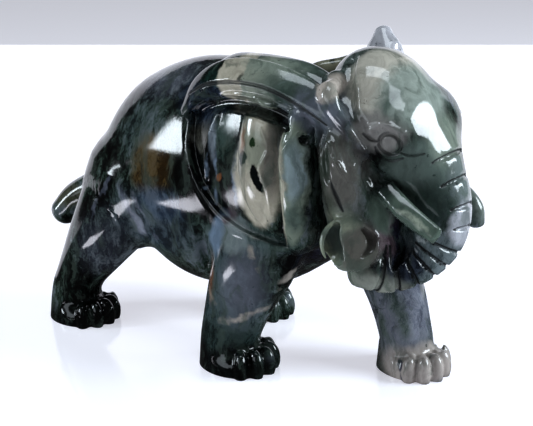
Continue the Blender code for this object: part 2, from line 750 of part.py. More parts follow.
def carving():
    """The figure on its grid, with its feet running on below the ground."""
    clay = Clay(BLOCK_LOW, BLOCK_HIGH, CELL)
    body(clay)
    skull(clay)
    ear(clay, RIM_RIGHT, 1, 0)
    ear(clay, RIM_LEFT, -1, EAR_DROP_LEFT)
    clay.add(limb(PEAK_LEFT, across=(1, 0, 0), domes=FOLD_ENDS), BODY_FILLET)
    trunk_rings(clay)
    face(clay)
    tusks(clay)
    trunk_tip(clay)
    return clay


def thinned(obj, triangles):
    """Brings the mesh of an object down to a number of triangles, most finely at the eyes."""
    count = sum(len(face.vertices) - 2 for face in obj.data.polygons)
    places = np.array([vertex.co for vertex in obj.data.vertices]) / PART
    from_eye = np.hypot(places[:, 0] - EYE[0], places[:, 2] - EYE[1])
    eyes = obj.vertex_groups.new(name="eyes")
    eyes.add([int(i) for i in np.flatnonzero(from_eye < EYE_KEPT)], 1.0, "REPLACE")
    thin = obj.modifiers.new("thin", "DECIMATE")
    thin.ratio = triangles / count
    thin.vertex_group = eyes.name
    thin.invert_vertex_group = True
    thin.vertex_group_factor = KEEPING
    thin.use_collapse_triangulate = True
    shape = bpy.data.meshes.new_from_object(obj.evaluated_get(bpy.context.evaluated_depsgraph_get()))
    obj.modifiers.remove(thin)
    obj.vertex_groups.remove(eyes)
    obj.data = shape


def stood(mesh):
    """Cuts the soles flat on z = 0 and sets the origin midway along the length and width."""
    form = bmesh.new()
    form.from_mesh(mesh)
    geometry = form.verts[:] + form.edges[:] + form.faces[:]
    cut = bmesh.ops.bisect_plane(
        form, geom=geometry, plane_co=(0, 0, 0), plane_no=(0, 0, 1), clear_inner=True
    )
    rims = [item for item in cut["geom_cut"] if isinstance(item, bmesh.types.BMEdge)]
    soles = bmesh.ops.holes_fill(form, edges=rims, sides=0)["faces"]
    bmesh.ops.triangulate(form, faces=soles)
    places = np.array([vertex.co for vertex in form.verts])
    middle = (places.min(0) + places.max(0)) / 2
    bmesh.ops.translate(form, verts=form.verts, vec=(-middle[0], -middle[1], 0))
    form.to_mesh(mesh)
    form.free()


def stone_material():
    material = bpy.data.materials.new("jade")
    material.use_nodes = True
    shader = material.node_tree.nodes["Principled BSDF"]
    shader.inputs["Base Color"].default_value = STONE_COLOUR
    shader.inputs["Roughness"].default_value = STONE_ROUGHNESS
    shader.inputs["Metallic"].default_value = 0.0
    return material


def elephant():
    mesh = carving().mesh("elephant")
    obj = bpy.data.objects.new("elephant", mesh)
    bpy.context.scene.collection.objects.link(obj)
    thinned(obj, TRIANGLES)
    stood(obj.data)
    obj.data.materials.clear()
    obj.data.materials.append(stone_material())
    obj.data.shade_smooth()
    obj.data.name = "elephant"


clear_scene()
elephant()
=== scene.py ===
"""The jade elephant, dressed: one carving of mottled, polished stone on a pale floor.

Lengths are in millimetres in the figure's own frame, which has +X towards the head, +Y
towards the elephant's left and +Z up, and stands on z = 0. The finished mesh is in
metres, moved so that the middle of its box lies on the middle of the solid's box.
"""

import logging
import math
from collections.abc import Sequence
from dataclasses import dataclass
from enum import Enum

import bmesh
import bpy
import numpy as np
import openvdb
from mathutils import Euler, Matrix, Vector
from mathutils.kdtree import KDTree


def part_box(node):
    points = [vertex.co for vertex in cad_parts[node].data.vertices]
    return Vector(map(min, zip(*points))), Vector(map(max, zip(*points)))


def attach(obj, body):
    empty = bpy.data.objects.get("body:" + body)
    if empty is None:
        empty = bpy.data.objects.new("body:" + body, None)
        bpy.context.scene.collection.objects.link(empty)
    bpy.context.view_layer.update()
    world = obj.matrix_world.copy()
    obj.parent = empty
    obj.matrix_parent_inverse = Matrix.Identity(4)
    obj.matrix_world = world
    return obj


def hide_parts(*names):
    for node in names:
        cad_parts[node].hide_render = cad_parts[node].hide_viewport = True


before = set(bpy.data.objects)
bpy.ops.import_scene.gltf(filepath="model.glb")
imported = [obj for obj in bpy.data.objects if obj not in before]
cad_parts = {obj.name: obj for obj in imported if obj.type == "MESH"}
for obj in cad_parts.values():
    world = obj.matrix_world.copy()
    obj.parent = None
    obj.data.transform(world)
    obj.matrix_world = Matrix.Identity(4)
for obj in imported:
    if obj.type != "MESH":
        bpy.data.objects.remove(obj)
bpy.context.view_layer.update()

MM = 0.001
LOG = logging.getLogger("elephant")

# How finely a form is drawn before it is joined on the grid
STEPS = 6
SIDES = 96
FINE_SIDES = 32
NOSTRIL_SIDES = 48
BALL_LEVELS = 5
DOME_ANGLES = (20, 40, 56, 70, 82)

# Fillets where forms meet, in millimetres
CROWN_FILLET = 7
HEAD_FILLET = 6
TRUNK_FILLET = 4
FACET_FILLET = 3
ROOT_FILLET = 2.5
BODY_FILLET = 2
BROW_FILLET = 1.6
SOFT_FILLET = 1.5
RIDGE_FILLET = 1.2
EDGE_FILLET = 1
RIM_FILLET = 0.8
FOLD_FILLET = 0.6
GROOVE_FILLET = 0.5

# Types
Numbers = tuple[float, ...]
Stations = Sequence[Numbers]
Triple = tuple[float, float, float]
Pair = tuple[float, float]
Cells = tuple[slice, ...]
Socket = bpy.types.NodeSocket

# The figure's own directions
AHEAD: Triple = (1, 0, 0)
LEFTWARDS: Triple = (0, 1, 0)
UP: Triple = (0, 0, 1)


class Side(Enum):
    """A side of the animal."""

    RIGHT = 1
    LEFT = -1


class Cut(Enum):
    """How a line on the skin meets it."""

    GROOVE = -1
    RIDGE = 1


class Work(Enum):
    """What is done to the stone with a shape."""

    ADD = 1
    CUT = -1


class Section(Enum):
    """The section of a limb: the power of its curve, which is a circle's at 2."""

    GEM = 1.2
    LENS = 1.3
    ALMOND = 1.4
    ROUND = 2.0
    FULL = 2.4
    BOX = 4.0


def srgb(red: int, green: int, blue: int) -> Numbers:
    """A display colour as the linear one that a shader takes.

    Args:
        red, green, blue: levels from 0 to 255.

    Returns:
        The linear colour with an alpha of 1.
    """
    levels = [level / 255 for level in (red, green, blue)]
    linear = [v / 12.92 if v <= 0.04045 else ((v + 0.055) / 1.055) ** 2.4 for v in levels]
    return (*linear, 1.0)


def mirrored(stations: Stations, side: Side) -> list[Numbers]:
    """Stations as given for the right side, or mirrored for the left side."""
    return [(x, y * side.value, *rest) for x, y, *rest in stations]


def smooth_rows(rows: Stations, steps: int = STEPS) -> np.ndarray:
    """Points of a Catmull-Rom curve through rows of numbers.

    Args:
        rows: the rows that the curve passes through.
        steps: how many points each stretch gets.

    Returns:
        The points, ending on the last row.
    """
    rows = np.asarray(rows, float)
    padded = np.vstack([2 * rows[0] - rows[1], rows, 2 * rows[-1] - rows[-2]])
    made = []
    for before, start, end, after in zip(padded, padded[1:], padded[2:], padded[3:]):
        for share in np.arange(steps) / steps:
            line = 2 * start + (end - before) * share
            bend = (2 * before - 5 * start + 4 * end - after) * share**2
            twist = (3 * start - before - 3 * end + after) * share**3
            made.append(0.5 * (line + bend + twist))
    made.append(rows[-1])
    return np.array(made)


def directions(rows: np.ndarray, across: Triple) -> tuple[list[np.ndarray], list[np.ndarray]]:
    """The way of the half width and of the half depth at each row of a path.

    Args:
        rows: the path, with x, y and z first in each row.
        across: the way of the half width at the first row.

    Returns:
        The ways of the width, and the ways of the depth.
    """
    tangents = np.gradient(rows[:, :3], axis=0)
    tangents /= np.linalg.norm(tangents, axis=1)[:, None]
    wide = np.asarray(across, float)
    wides, deeps = [], []
    for tangent in tangents:
        wide = wide - tangent * (wide @ tangent)
        wide /= np.linalg.norm(wide)
        wides.append(wide)
        deeps.append(np.cross(tangent, wide))
    return wides, deeps


def bridged(form: bmesh.types.BMesh, rings: Sequence[Sequence[bmesh.types.BMVert]]) -> None:
    """Joins rings of as many vertices by quads.

    Args:
        form: the mesh that the rings are in.
        rings: the rings in their order.
    """
    for one, two in zip(rings, rings[1:]):
        for i in range(len(one)):
            j = (i + 1) % len(one)
            form.faces.new((one[i], one[j], two[j], two[i]))


@dataclass(frozen=True)
class Limb:
    """A closed loft through stations of x, y, z, half width and half depth.

    The half width lies along across at the first station and turns with the path. The
    domes are how far each end is rounded.
    """

    stations: Stations
    across: Triple = LEFTWARDS
    domes: Pair = (0, 0)
    section: Section = Section.ROUND
    steps: int = STEPS
    sides: int = SIDES

    def rounded(self, rows: np.ndarray) -> np.ndarray:
        """Adds shrinking rows beyond each end that has a dome.

        Args:
            rows: rows of x, y, z, half width and half depth.

        Returns:
            The rows with the domes.
        """
        head = (rows[0, :3] - rows[1, :3]) / np.linalg.norm(rows[0, :3] - rows[1, :3])
        tail = (rows[-1, :3] - rows[-2, :3]) / np.linalg.norm(rows[-1, :3] - rows[-2, :3])
        before, after = [], []
        for share in np.sin(np.radians(DOME_ANGLES)):
            width = math.sqrt(1 - share**2)
            first = rows[0, :3] + head * self.domes[0] * share
            last = rows[-1, :3] + tail * self.domes[1] * share
            before.insert(0, np.append(first, rows[0, 3:] * width))
            after.append(np.append(last, rows[-1, 3:] * width))
        ends = ([before] if self.domes[0] else [], [after] if self.domes[1] else [])
        return np.vstack(ends[0] + [rows] + ends[1])

    def form(self) -> bmesh.types.BMesh:
        """Makes the loft.

        Returns:
            Its closed mesh.
        """
        rows = self.rounded(smooth_rows(self.stations, self.steps))
        angles = np.linspace(0, 2 * np.pi, self.sides, endpoint=False)
        cosines, sines = np.cos(angles), np.sin(angles)
        power = 2 / self.section.value
        bulge_x = np.sign(cosines) * np.abs(cosines) ** power
        bulge_y = np.sign(sines) * np.abs(sines) ** power
        made = bmesh.new()
        rings = []
        for row, wide, deep in zip(rows, *directions(rows, self.across)):
            ring = row[:3] + np.outer(bulge_x * row[3], wide) + np.outer(bulge_y * row[4], deep)
            rings.append([made.verts.new(point) for point in ring])
        bridged(made, rings)
        made.faces.new(rings[0][::-1])
        made.faces.new(rings[-1])
        return made


@dataclass(frozen=True)
class Blob:
    """An ellipsoid, turned by degrees about X, Y and Z."""

    centre: Triple
    radii: Triple
    turn: Triple = (0, 0, 0)

    def on(self, side: Side) -> "Blob":
        """The ellipsoid as given for the right side, or mirrored for the left side."""
        (x, y, z), (roll, pitch, yaw) = self.centre, self.turn
        return Blob((x, y * side.value, z), self.radii, (roll, pitch, yaw * side.value))

    def form(self) -> bmesh.types.BMesh:
        """Makes the ellipsoid.

        Returns:
            Its closed mesh.
        """
        made = bmesh.new()
        bmesh.ops.create_icosphere(made, subdivisions=BALL_LEVELS, radius=1)
        place = Matrix.Translation(self.centre)
        for axis, angle in zip("ZYX", self.turn[::-1]):
            place = place @ Matrix.Rotation(math.radians(angle), 4, axis)
        made.transform(place @ Matrix.Diagonal((*self.radii, 1)))
        return made


@dataclass(frozen=True)
class Prism:
    """An outline of x and z, rounded by a curve and extruded along y."""

    outline: Sequence[Pair]
    near: float
    far: float

    def form(self) -> bmesh.types.BMesh:
        """Makes the prism.

        Returns:
            Its closed mesh.
        """
        rows = np.array([(x, self.near, z) for x, z in self.outline], float)
        rows = smooth_rows(np.vstack([rows, rows[:1]]))[:-1]
        made = bmesh.new()
        face = made.faces.new([made.verts.new(row) for row in rows])
        grown = bmesh.ops.extrude_face_region(made, geom=[face])
        moved = [item for item in grown["geom"] if isinstance(item, bmesh.types.BMVert)]
        bmesh.ops.translate(made, verts=moved, vec=(0, self.far - self.near, 0))
        bmesh.ops.recalc_face_normals(made, faces=made.faces)
        return made


Shape = Limb | Blob | Prism


class Block:
    """A block of stone on a grid that holds, in each cell, the distance to the surface."""

    most_blend: float = 7.0
    least_reach: float = 2.0
    near_reach: float = 0.99
    skin_reach: float = 34

    def __init__(self, low: Triple, high: Triple, cell: float) -> None:
        """An empty block.

        Args:
            low, high: the corners of the block.
            cell: the size of a cell of its grid.
        """
        self.cell = cell
        self.low = np.floor(np.array(low) / cell).astype(int)
        self.shape = np.ceil(np.array(high) / cell).astype(int) - self.low + 1
        self.field = np.full(self.shape, self.most_blend + 2 * cell, np.float32)

    def sample(self, shape: Shape, reach: float) -> tuple[Cells, np.ndarray]:
        """Measures the distance to a shape.

        Args:
            shape: the shape to measure.
            reach: how far from its surface the distance is needed.

        Returns:
            The cells near the shape, and the distance in each of them.
        """
        form = shape.form()
        bmesh.ops.triangulate(form, faces=form.faces)
        form.verts.index_update()
        points = np.array([vertex.co for vertex in form.verts], np.float32)
        faces = np.array([[v.index for v in face.verts] for face in form.faces], np.uint32)
        form.free()
        grid = openvdb.FloatGrid.createLevelSetFromPolygons(
            points,
            triangles=faces[:, ::-1].copy(),
            transform=openvdb.createLinearTransform(self.cell),
            halfWidth=reach / self.cell,
        )
        start = np.floor((points.min(0) - reach) / self.cell).astype(int)
        stop = np.ceil((points.max(0) + reach) / self.cell).astype(int) + 1
        start = np.maximum(start, self.low)
        stop = np.minimum(stop, self.low + self.shape)
        distance = np.empty(stop - start, np.float32)
        grid.copyToArray(distance, ijk=tuple(int(i) for i in start))
        return tuple(slice(a, b) for a, b in zip(start - self.low, stop - self.low)), distance

    def join(self, cells: Cells, distance: np.ndarray, blend: float, work: Work) -> None:
        """Adds or cuts a shape by its distance.

        Args:
            cells: the cells that the distance is for.
            distance: the distance to the shape in those cells.
            blend: the size of the fillet where the two surfaces meet.
            work: whether the shape is added or cut away.
        """
        here = self.field[cells] * work.value
        merged = np.minimum(here, distance)
        if blend:
            near = np.maximum(blend - np.abs(here - distance), 0) / blend
            merged -= near * near * blend / 4
        near = distance < self.near_reach * distance.max()
        self.field[cells] = np.where(near, merged, here) * work.value

    def add(self, shape: Shape, blend: float = 0.0) -> None:
        """Adds a shape with a fillet."""
        self.join(*self.sample(shape, max(blend, self.least_reach) + 2 * self.cell), blend, Work.ADD)

    def cut(self, shape: Shape, blend: float = 0.0) -> None:
        """Cuts a shape away with a fillet."""
        self.join(*self.sample(shape, max(blend, self.least_reach) + 2 * self.cell), blend, Work.CUT)

    def keep(self, shape: Shape, blend: float) -> None:
        """Leaves only what lies inside a shape.

        Args:
            shape: the shape.
            blend: the size of the fillet where the two surfaces meet.
        """
        cells, distance = self.sample(shape, self.most_blend)
        outside = np.full(self.shape, self.most_blend, np.float32)
        outside[cells] = distance
        near = np.maximum(blend - np.abs(self.field - outside), 0) / blend
        self.field = np.maximum(self.field, outside) + near * near * blend / 4

    def take(self, other: "Block", blend: float, work: Work) -> None:
        """Adds or cuts another block on the same grid.

        Args:
            other: the other block.
            blend: the size of the fillet where the two surfaces meet.
            work: whether it is added or cut away.
        """
        start = np.maximum(self.low, other.low)
        stop = np.minimum(self.low + self.shape, other.low + other.shape)
        mine, its = [
            tuple(slice(a, b) for a, b in zip(start - block.low, stop - block.low))
            for block in (self, other)
        ]
        self.join(mine, other.field[its], blend, work)

    def values(self, points: np.ndarray) -> np.ndarray:
        """Reads the distance to the surface between the cells.

        Args:
            points: the points, one to a row.

        Returns:
            The distance at each point.
        """
        places = points / self.cell - self.low
        base = np.floor(places).astype(int)
        shares = places - base
        total = np.zeros(len(points))
        for corner in np.ndindex(2, 2, 2):
            weights = np.where(corner, shares, 1 - shares).prod(axis=1)
            total += weights * self.field[tuple((base + corner).T)]
        return total

    def surface(self, centre: Sequence[float], way: Sequence[float], far: float) -> np.ndarray:
        """Where a line that comes in towards a centre meets the surface.

        Args:
            centre: the point that the line runs to.
            way: the unit way from the centre out along the line.
            far: how far out the line starts.

        Returns:
            The point on the surface.
        """
        centre, way = np.asarray(centre, float), np.asarray(way, float)
        steps = np.arange(far, 0, -self.cell / 2)
        values = self.values(centre + np.outer(steps, way))
        inside = int(np.argmax(values < 0))
        share = values[inside - 1] / (values[inside - 1] - values[inside])
        return centre + way * (steps[inside - 1] + (steps[inside] - steps[inside - 1]) * share)

    def skin(self, x: float, z: float, side: Side) -> float:
        """The y at which the surface lies at (x, z) on a side."""
        return float(self.surface((x, 0, z), (0, -side.value, 0), self.skin_reach)[1])

    def facing(self, x: float, z: float, side: Side, span: float = 2.0) -> Vector:
        """The way that the surface looks on a side.

        Args:
            x, z: the place on the side.
            side: the side of the animal.
            span: how far about the place the surface is felt.

        Returns:
            The way out of the surface there.
        """
        rise_x = self.skin(x + span, z, side) - self.skin(x - span, z, side)
        rise_z = self.skin(x, z + span, side) - self.skin(x, z - span, side)
        way = Vector((rise_x, -2 * span, rise_z)) * side.value
        return way.normalized()

    def strip(
        self, stations: Stations, side: Side, across: Triple = LEFTWARDS, domes: Pair = (0.8, 0.8)
    ) -> Limb:
        """A limb that follows the skin.

        Args:
            stations: rows of x, z, half width and half depth.
            side: the side of the animal.
            across: the way of the half width at the first station.
            domes: how far each end is rounded.

        Returns:
            The limb, which lies half in and half out of the stone.
        """
        path = [(x, self.skin(x, z, side), z, *size) for x, z, *size in smooth_rows(stations)]
        return Limb(path, across=across, domes=domes, steps=1, sides=FINE_SIDES)

    def mesh(self, name: str) -> bpy.types.Mesh:
        """Turns the surface of the stone into a mesh.

        Args:
            name: the mesh's name.

        Returns:
            The mesh, all in quads.
        """
        grid = openvdb.FloatGrid(self.most_blend + 2 * self.cell)
        grid.transform = openvdb.createLinearTransform(self.cell)
        grid.copyFromArray(self.field, ijk=tuple(int(i) for i in self.low))
        points, _, quads = grid.convertToPolygons(isovalue=0.0, adaptivity=0.0)
        mesh = bpy.data.meshes.new(name)
        mesh.from_pydata(points, [], quads.tolist())
        return mesh


@dataclass(frozen=True)
class Foot:
    """A foot with its pad, its toes and the crease above them."""

    x: float
    y: float
    size: float
    heading: float
    toes: int = 5
    spread: float = 56
    reach: Pair = (8.6, 7.4)
    toe_radii: Triple = (3.4, 2.3, 5.2)
    toe_lift: float = 2.6
    toe_forward: float = 1.2
    pad_radii: Triple = (9.6, 9.2, 6.5)
    pad_lift: float = 1.5
    crease_reach: Pair = (9.2, 8.4)
    crease_height: float = 9.0
    crease_drop: float = 2.4
    crease_spread: float = 82
    crease_points: int = 7
    crease_size: Pair = (1.5, 0.9)

    def axes(self) -> tuple[np.ndarray, np.ndarray, np.ndarray]:
        """The foot's own axes.

        Returns:
            The middle of the foot, its way ahead and its way to the left.
        """
        turn = math.radians(self.heading)
        ahead = np.array((math.cos(turn), math.sin(turn), 0))
        left = np.array((-math.sin(turn), math.cos(turn), 0))
        return np.array((self.x, self.y, 0)), ahead, left

    def shape(self, block: Block) -> None:
        """Adds the pad and the toes.

        Args:
            block: the stone.
        """
        middle, ahead, left = self.axes()
        pad = [radius * self.size for radius in self.pad_radii[:2]] + [self.pad_radii[2]]
        heart = middle + ahead * self.pad_lift + (0, 0, self.pad_lift)
        block.add(Blob(heart, pad, (0, 0, self.heading)), SOFT_FILLET)
        for i in range(self.toes):
            angle = math.radians(self.spread * (2 * i / (self.toes - 1) - 1))
            out = ahead * (self.toe_forward + math.cos(angle) * self.reach[0] * self.size)
            out = out + left * math.sin(angle) * self.reach[1] * self.size
            turn = (0, 0, self.heading + math.degrees(angle))
            toe = Blob(middle + out + (0, 0, self.toe_lift), self.toe_radii, turn)
            block.add(toe, GROOVE_FILLET)

    def crease(self, block: Block) -> None:
        """Cuts the groove round the front of the ankle.

        Args:
            block: the stone.
        """
        middle, ahead, left = self.axes()
        path = []
        for angle in np.radians(np.linspace(-self.crease_spread, self.crease_spread, self.crease_points)):
            out = ahead * math.cos(angle) * self.crease_reach[0]
            out = out + left * math.sin(angle) * self.crease_reach[1]
            height = self.crease_height * self.size - self.crease_drop * math.sin(angle) ** 2
            path.append((*(middle + out * self.size + (0, 0, height)), *self.crease_size))
        groove = Limb(path, across=AHEAD, domes=(1, 1), section=Section.ALMOND, sides=FINE_SIDES)
        block.cut(groove, GROOVE_FILLET)


@dataclass(frozen=True)
class Body:
    """The torso, the four legs on their feet, and the tail."""

    torso: Stations = (
        (-61, 0, 37.5, 11, 9),
        (-54, 0, 39.5, 17, 15),
        (-45, 0, 43.6, 21, 21.2),
        (-33, 0, 48, 23.5, 30.2),
        (-18, 0, 50.4, 24.5, 34),
        (0, 0, 52.3, 24, 32.2),
        (16, 0, 56, 21, 26),
        (30, 0, 60, 17, 21),
        (40, 0, 64, 13, 17.5),
    )
    hind_right: Stations = (
        (-41, -12, 46, 11, 15),
        (-46, -16, 35, 10, 13),
        (-51, -18.5, 26, 8.8, 10.5),
        (-57.5, -19.5, 15.5, 7.4, 7.8),
        (-60, -20, 8, 7.6, 7.8),
        (-60, -20, -4, 9, 9.2),
    )
    hind_left: Stations = (
        (-36, 12, 46, 11, 15),
        (-28, 15.5, 33, 9.8, 12),
        (-22, 17, 20, 8.2, 9),
        (-19.5, 17.5, 10, 7.4, 7.8),
        (-19, 17.5, -4, 8.8, 9),
    )
    fore_right: Stations = (
        (10, -13, 50, 10, 14),
        (9.6, -16.5, 36, 9.5, 13.5),
        (5.5, -17.5, 24, 9, 10.8),
        (2, -18, 13, 8.2, 9),
        (1, -18, 7, 8.4, 8.8),
        (1, -18, -4, 9, 9.6),
    )
    fore_left: Stations = (
        (22, 9, 52, 10, 12),
        (30, 10, 38, 9, 10),
        (37.5, 11, 23, 8, 8.4),
        (41.5, 11, 11, 7.4, 7.6),
        (42, 11, 6, 7.6, 8),
        (42, 11, -4, 8.4, 8.8),
    )
    feet: tuple[Foot, ...] = (
        Foot(-58.5, -20, 1.0, 6),
        Foot(2.5, -18, 1.05, 6),
        Foot(43.5, 11, 0.95, -14),
        Foot(-17.5, 17.5, 0.95, 0),
    )
    flank_crease: Stations = (
        (-5, 41.5, 0.4, 0.5),
        (-6.4, 36.4, 1.2, 1.8),
        (-8.2, 30.5, 1.4, 2.6),
        (-9, 27, 1, 2),
    )
    tail: Stations = (
        (-56, 0, 40, 6, 6),
        (-66, -1, 36.5, 6, 6),
        (-74, -4, 32, 5.8, 5.6),
        (-78, -7, 27.5, 4.8, 4.6),
    )
    torso_domes: Pair = (6, 6)
    leg_domes: Pair = (8, 0)
    tail_domes: Pair = (4, 4)
    hind_fillet: float = 6
    fore_right_fillet: float = 3.5
    fore_left_fillet: float = 5

    def carve(self, block: Block) -> None:
        """Cuts the body out of the block.

        Args:
            block: the stone.
        """
        block.add(Limb(self.torso, domes=self.torso_domes, sides=2 * SIDES))
        for stations, fillet in (
            (self.hind_right, self.hind_fillet),
            (self.hind_left, self.hind_fillet),
            (self.fore_right, self.fore_right_fillet),
            (self.fore_left, self.fore_left_fillet),
        ):
            block.add(Limb(stations, domes=self.leg_domes), fillet)
        block.cut(block.strip(self.flank_crease, Side.RIGHT, across=AHEAD), BODY_FILLET)
        for foot in self.feet:
            foot.shape(block)
        for foot in self.feet:
            foot.crease(block)
        block.add(Limb(self.tail, domes=self.tail_domes), BODY_FILLET)


@dataclass(frozen=True)
class Skull:
    """The neck, forehead, brows, cheeks and jaw."""

    neck: Stations = ((22, 0, 62, 17, 17), (32, 0, 66.5, 14.5, 16.5), (42, 0, 71, 12, 15))
    nape: Stations = (
        (11, 3, 82.4, 1.4, 1.4),
        (14.6, 5, 83.4, 2.2, 2.6),
        (20, 8.6, 84.6, 2.4, 2.8),
        (26, 12, 87, 2.4, 2.8),
    )
    forehead: Blob = Blob((43.2, 0, 75.2), (20, 13.8, 12.6), (0, 45, 0))
    crown: Blob = Blob((37, 0, 80), (11, 12, 11))
    facet: Blob = Blob((60.2, -6.4, 76.9), (3, 13, 11), (0, -26.8, -12.5))
    brow_boss: Blob = Blob((51, 8, 75.5), (6.5, 6, 6))
    cheek: Stations = (
        (38, 12, 74, 5.4, 7),
        (37, 15, 67, 6.2, 7),
        (37.6, 14.4, 58, 6.2, 6.4),
        (38.6, 12.4, 49, 5.6, 5.4),
    )
    jaw: Stations = ((39, -6, 58, 9, 9), (44, -10, 50.5, 6.5, 6.2), (47.8, -11.3, 43.5, 3.8, 3.6))
    tongue: Stations = ((46, -3, 54, 7, 7), (50, -4, 47, 7, 6), (51.5, -4.5, 40, 5, 4))
    neck_domes: Pair = (6, 6)
    nape_domes: Pair = (2, 2)
    cheek_domes: Pair = (5, 4)
    jaw_domes: Pair = (4, 2.5)
    tongue_domes: Pair = (3, 3)

    def carve(self, block: Block, trunk: "Trunk") -> None:
        """Cuts the head out of the block, with the trunk before the jaw.

        Args:
            block: the stone.
            trunk: the trunk.
        """
        block.add(Limb(self.neck, domes=self.neck_domes), HEAD_FILLET)
        block.add(self.forehead, HEAD_FILLET)
        block.add(self.crown, CROWN_FILLET)
        block.add(Limb(self.nape, domes=self.nape_domes), FOLD_FILLET)
        for side in Side:
            block.add(self.brow_boss.on(side), HEAD_FILLET)
            cheek = Limb(mirrored(self.cheek, side), across=AHEAD, domes=self.cheek_domes)
            block.add(cheek, HEAD_FILLET)
        trunk.carve(block)
        for side in Side:
            block.cut(self.facet.on(side), FACET_FILLET)
        block.add(Limb(self.jaw, domes=self.jaw_domes), BODY_FILLET)
        block.add(Limb(self.tongue, domes=self.tongue_domes), BODY_FILLET)


@dataclass(frozen=True)
class Trunk:
    """The trunk, which hangs and curls back, with its grooves and its flared end.

    A ring is its place as a share of the trunk's length, the angles of the section
    between which it runs, and its half width. A nostril's stations are across, up and out
    of the heart of the tip, half width and half depth.
    """

    path: Stations = (
        (46, 0, 72, 11, 12),
        (52.2, 0, 64, 9.7, 9.8),
        (57, 0, 54, 8.4, 8.6),
        (57.5, -1, 46, 7.2, 7.2),
        (54.2, -4.5, 40, 6.4, 6.4),
        (48.5, -10, 37, 6.2, 6),
        (43, -15.5, 38.6, 5.6, 5.6),
    )
    rings: Stations = (
        (0.177, 50, 135, 1.05),
        (0.258, 50, 135, 1.05),
        (0.35, 55, 128, 1.0),
        (0.43, 60, 122, 1.0),
        (0.53, 20, 172, 0.85),
        (0.6, 5, 190, 0.75),
        (0.665, 0, 190, 0.75),
        (0.735, 0, 190, 0.8),
        (0.815, 10, 200, 1.0),
        (0.9, 10, 200, 1.0),
    )
    line_width: float = 0.5
    line_depth: float = 0.25
    jaw_gap: Stations = (
        (52, -11, 53, 1, 4),
        (52.8, -10.5, 48, 1.6, 4.5),
        (53, -10.5, 43.5, 1.6, 4),
        (52, -10.5, 39.5, 1, 3),
    )
    path_domes: Pair = (6, 3)
    gap_domes: Pair = (1.5, 1.5)
    ring_points: int = 9
    ring_reach: float = 5
    ring_thin: float = 0.35
    ring_wide: float = 0.7
    ring_deep: float = 1.1
    ring_domes: Pair = (0.6, 0.6)
    line_steps: int = 3
    tip_heart: Triple = (42, -18.8, 45.2)
    tip_tall: float = 0.9
    tip_facing: Triple = (0.42, -0.8, 0.38)
    tip_flare: Sequence[Pair] = ((-5, 5), (-2, 6.7), (0.5, 7.8), (2, 7.7))
    tip_domes: Pair = (3, 1.2)
    dish: Triple = (6.9, 1.6, 5.8)
    dish_out: float = 3.6
    nostrils: tuple[Stations, ...] = (
        (
            (-3.4, 4.6, 1.6, 0.9, 1.0),
            (-4.4, 1.6, 0.8, 1.9, 2.4),
            (-4, -2, 0.6, 2.5, 2.8),
            (-2.6, -5, 1.6, 1.7, 1.6),
        ),
        (
            (3.6, 3.8, 1.6, 0.7, 0.8),
            (5.6, 1.8, 1.2, 1.3, 1.6),
            (5.6, -1, 1.4, 1.1, 1.4),
            (4, -2.6, 2, 0.5, 0.6),
        ),
    )
    nostril_domes: Pair = (0.8, 0.8)

    def carve(self, block: Block) -> None:
        """Adds the plain trunk."""
        block.add(Limb(self.path, domes=self.path_domes), TRUNK_FILLET)

    def groove(self, block: Block, share: float, first: float, last: float, size: float) -> np.ndarray:
        """Cuts one groove across the trunk.

        Args:
            block: the stone.
            share: its place as a share of the trunk's length.
            first, last: the angles of the section between which it runs.
            size: its half width at its middle.

        Returns:
            The bottom of the groove, as rows of x, y, z, half width and signed depth.
        """
        rows = smooth_rows(self.path)
        wides, deeps = directions(rows, LEFTWARDS)
        place = share * (len(rows) - 1)
        i = int(place)
        row = rows[i] + (rows[i + 1] - rows[i]) * (place - i)
        path = []
        for k in range(self.ring_points):
            along = k / (self.ring_points - 1)
            angle = math.radians(first + (last - first) * along)
            out = wides[i] * math.cos(angle) * row[3] + deeps[i] * math.sin(angle) * row[4]
            radius = np.linalg.norm(out)
            swell = math.sin(math.pi * along) ** 0.5
            taper = size * (self.ring_thin + (1 - self.ring_thin) * swell)
            spot = block.surface(row[:3], out / radius, radius + self.ring_reach)
            path.append((*spot, taper * self.ring_wide, taper * self.ring_deep))
        across = np.cross(wides[i], deeps[i])
        ring = Limb(path, across, self.ring_domes, Section.LENS, sides=FINE_SIDES)
        block.cut(ring, GROOVE_FILLET)
        line = [(*spot, self.line_width, -self.line_depth) for *spot, _, _ in path]
        return smooth_rows(line, self.line_steps)

    def score(self, block: Block) -> list[np.ndarray]:
        """Cuts the grooves, and the gap between the trunk and the jaw.

        Args:
            block: the stone.

        Returns:
            The bottom of each groove, for the engraver to sharpen.
        """
        made = [self.groove(block, *ring) for ring in self.rings]
        block.cut(Limb(self.jaw_gap, across=AHEAD, domes=self.gap_domes), EDGE_FILLET)
        return made

    def open_tip(self, block: Block) -> None:
        """Adds the flared end and cuts its nostrils.

        Args:
            block: the stone.
        """
        heart = np.array(self.tip_heart)
        facing = np.array(self.tip_facing) / np.linalg.norm(self.tip_facing)
        flare = [(*(heart + facing * step), size, size * self.tip_tall) for step, size in self.tip_flare]
        block.add(Limb(flare, across=AHEAD, domes=self.tip_domes), SOFT_FILLET)
        right = np.cross(UP, facing)
        right /= np.linalg.norm(right)
        above = np.cross(facing, right)
        yaw = math.degrees(math.atan2(right[1], right[0]))
        pitch = -math.degrees(math.asin(facing[2]))
        block.cut(Blob(heart + facing * self.dish_out, self.dish, (pitch, 0, yaw)), EDGE_FILLET)
        for rows in self.nostrils:
            path = [
                (*(heart + right * across + above * up + facing * out), wide, deep)
                for across, up, out, wide, deep in rows
            ]
            nostril = Limb(path, across=right, domes=self.nostril_domes, sides=NOSTRIL_SIDES)
            block.cut(nostril, RIM_FILLET)


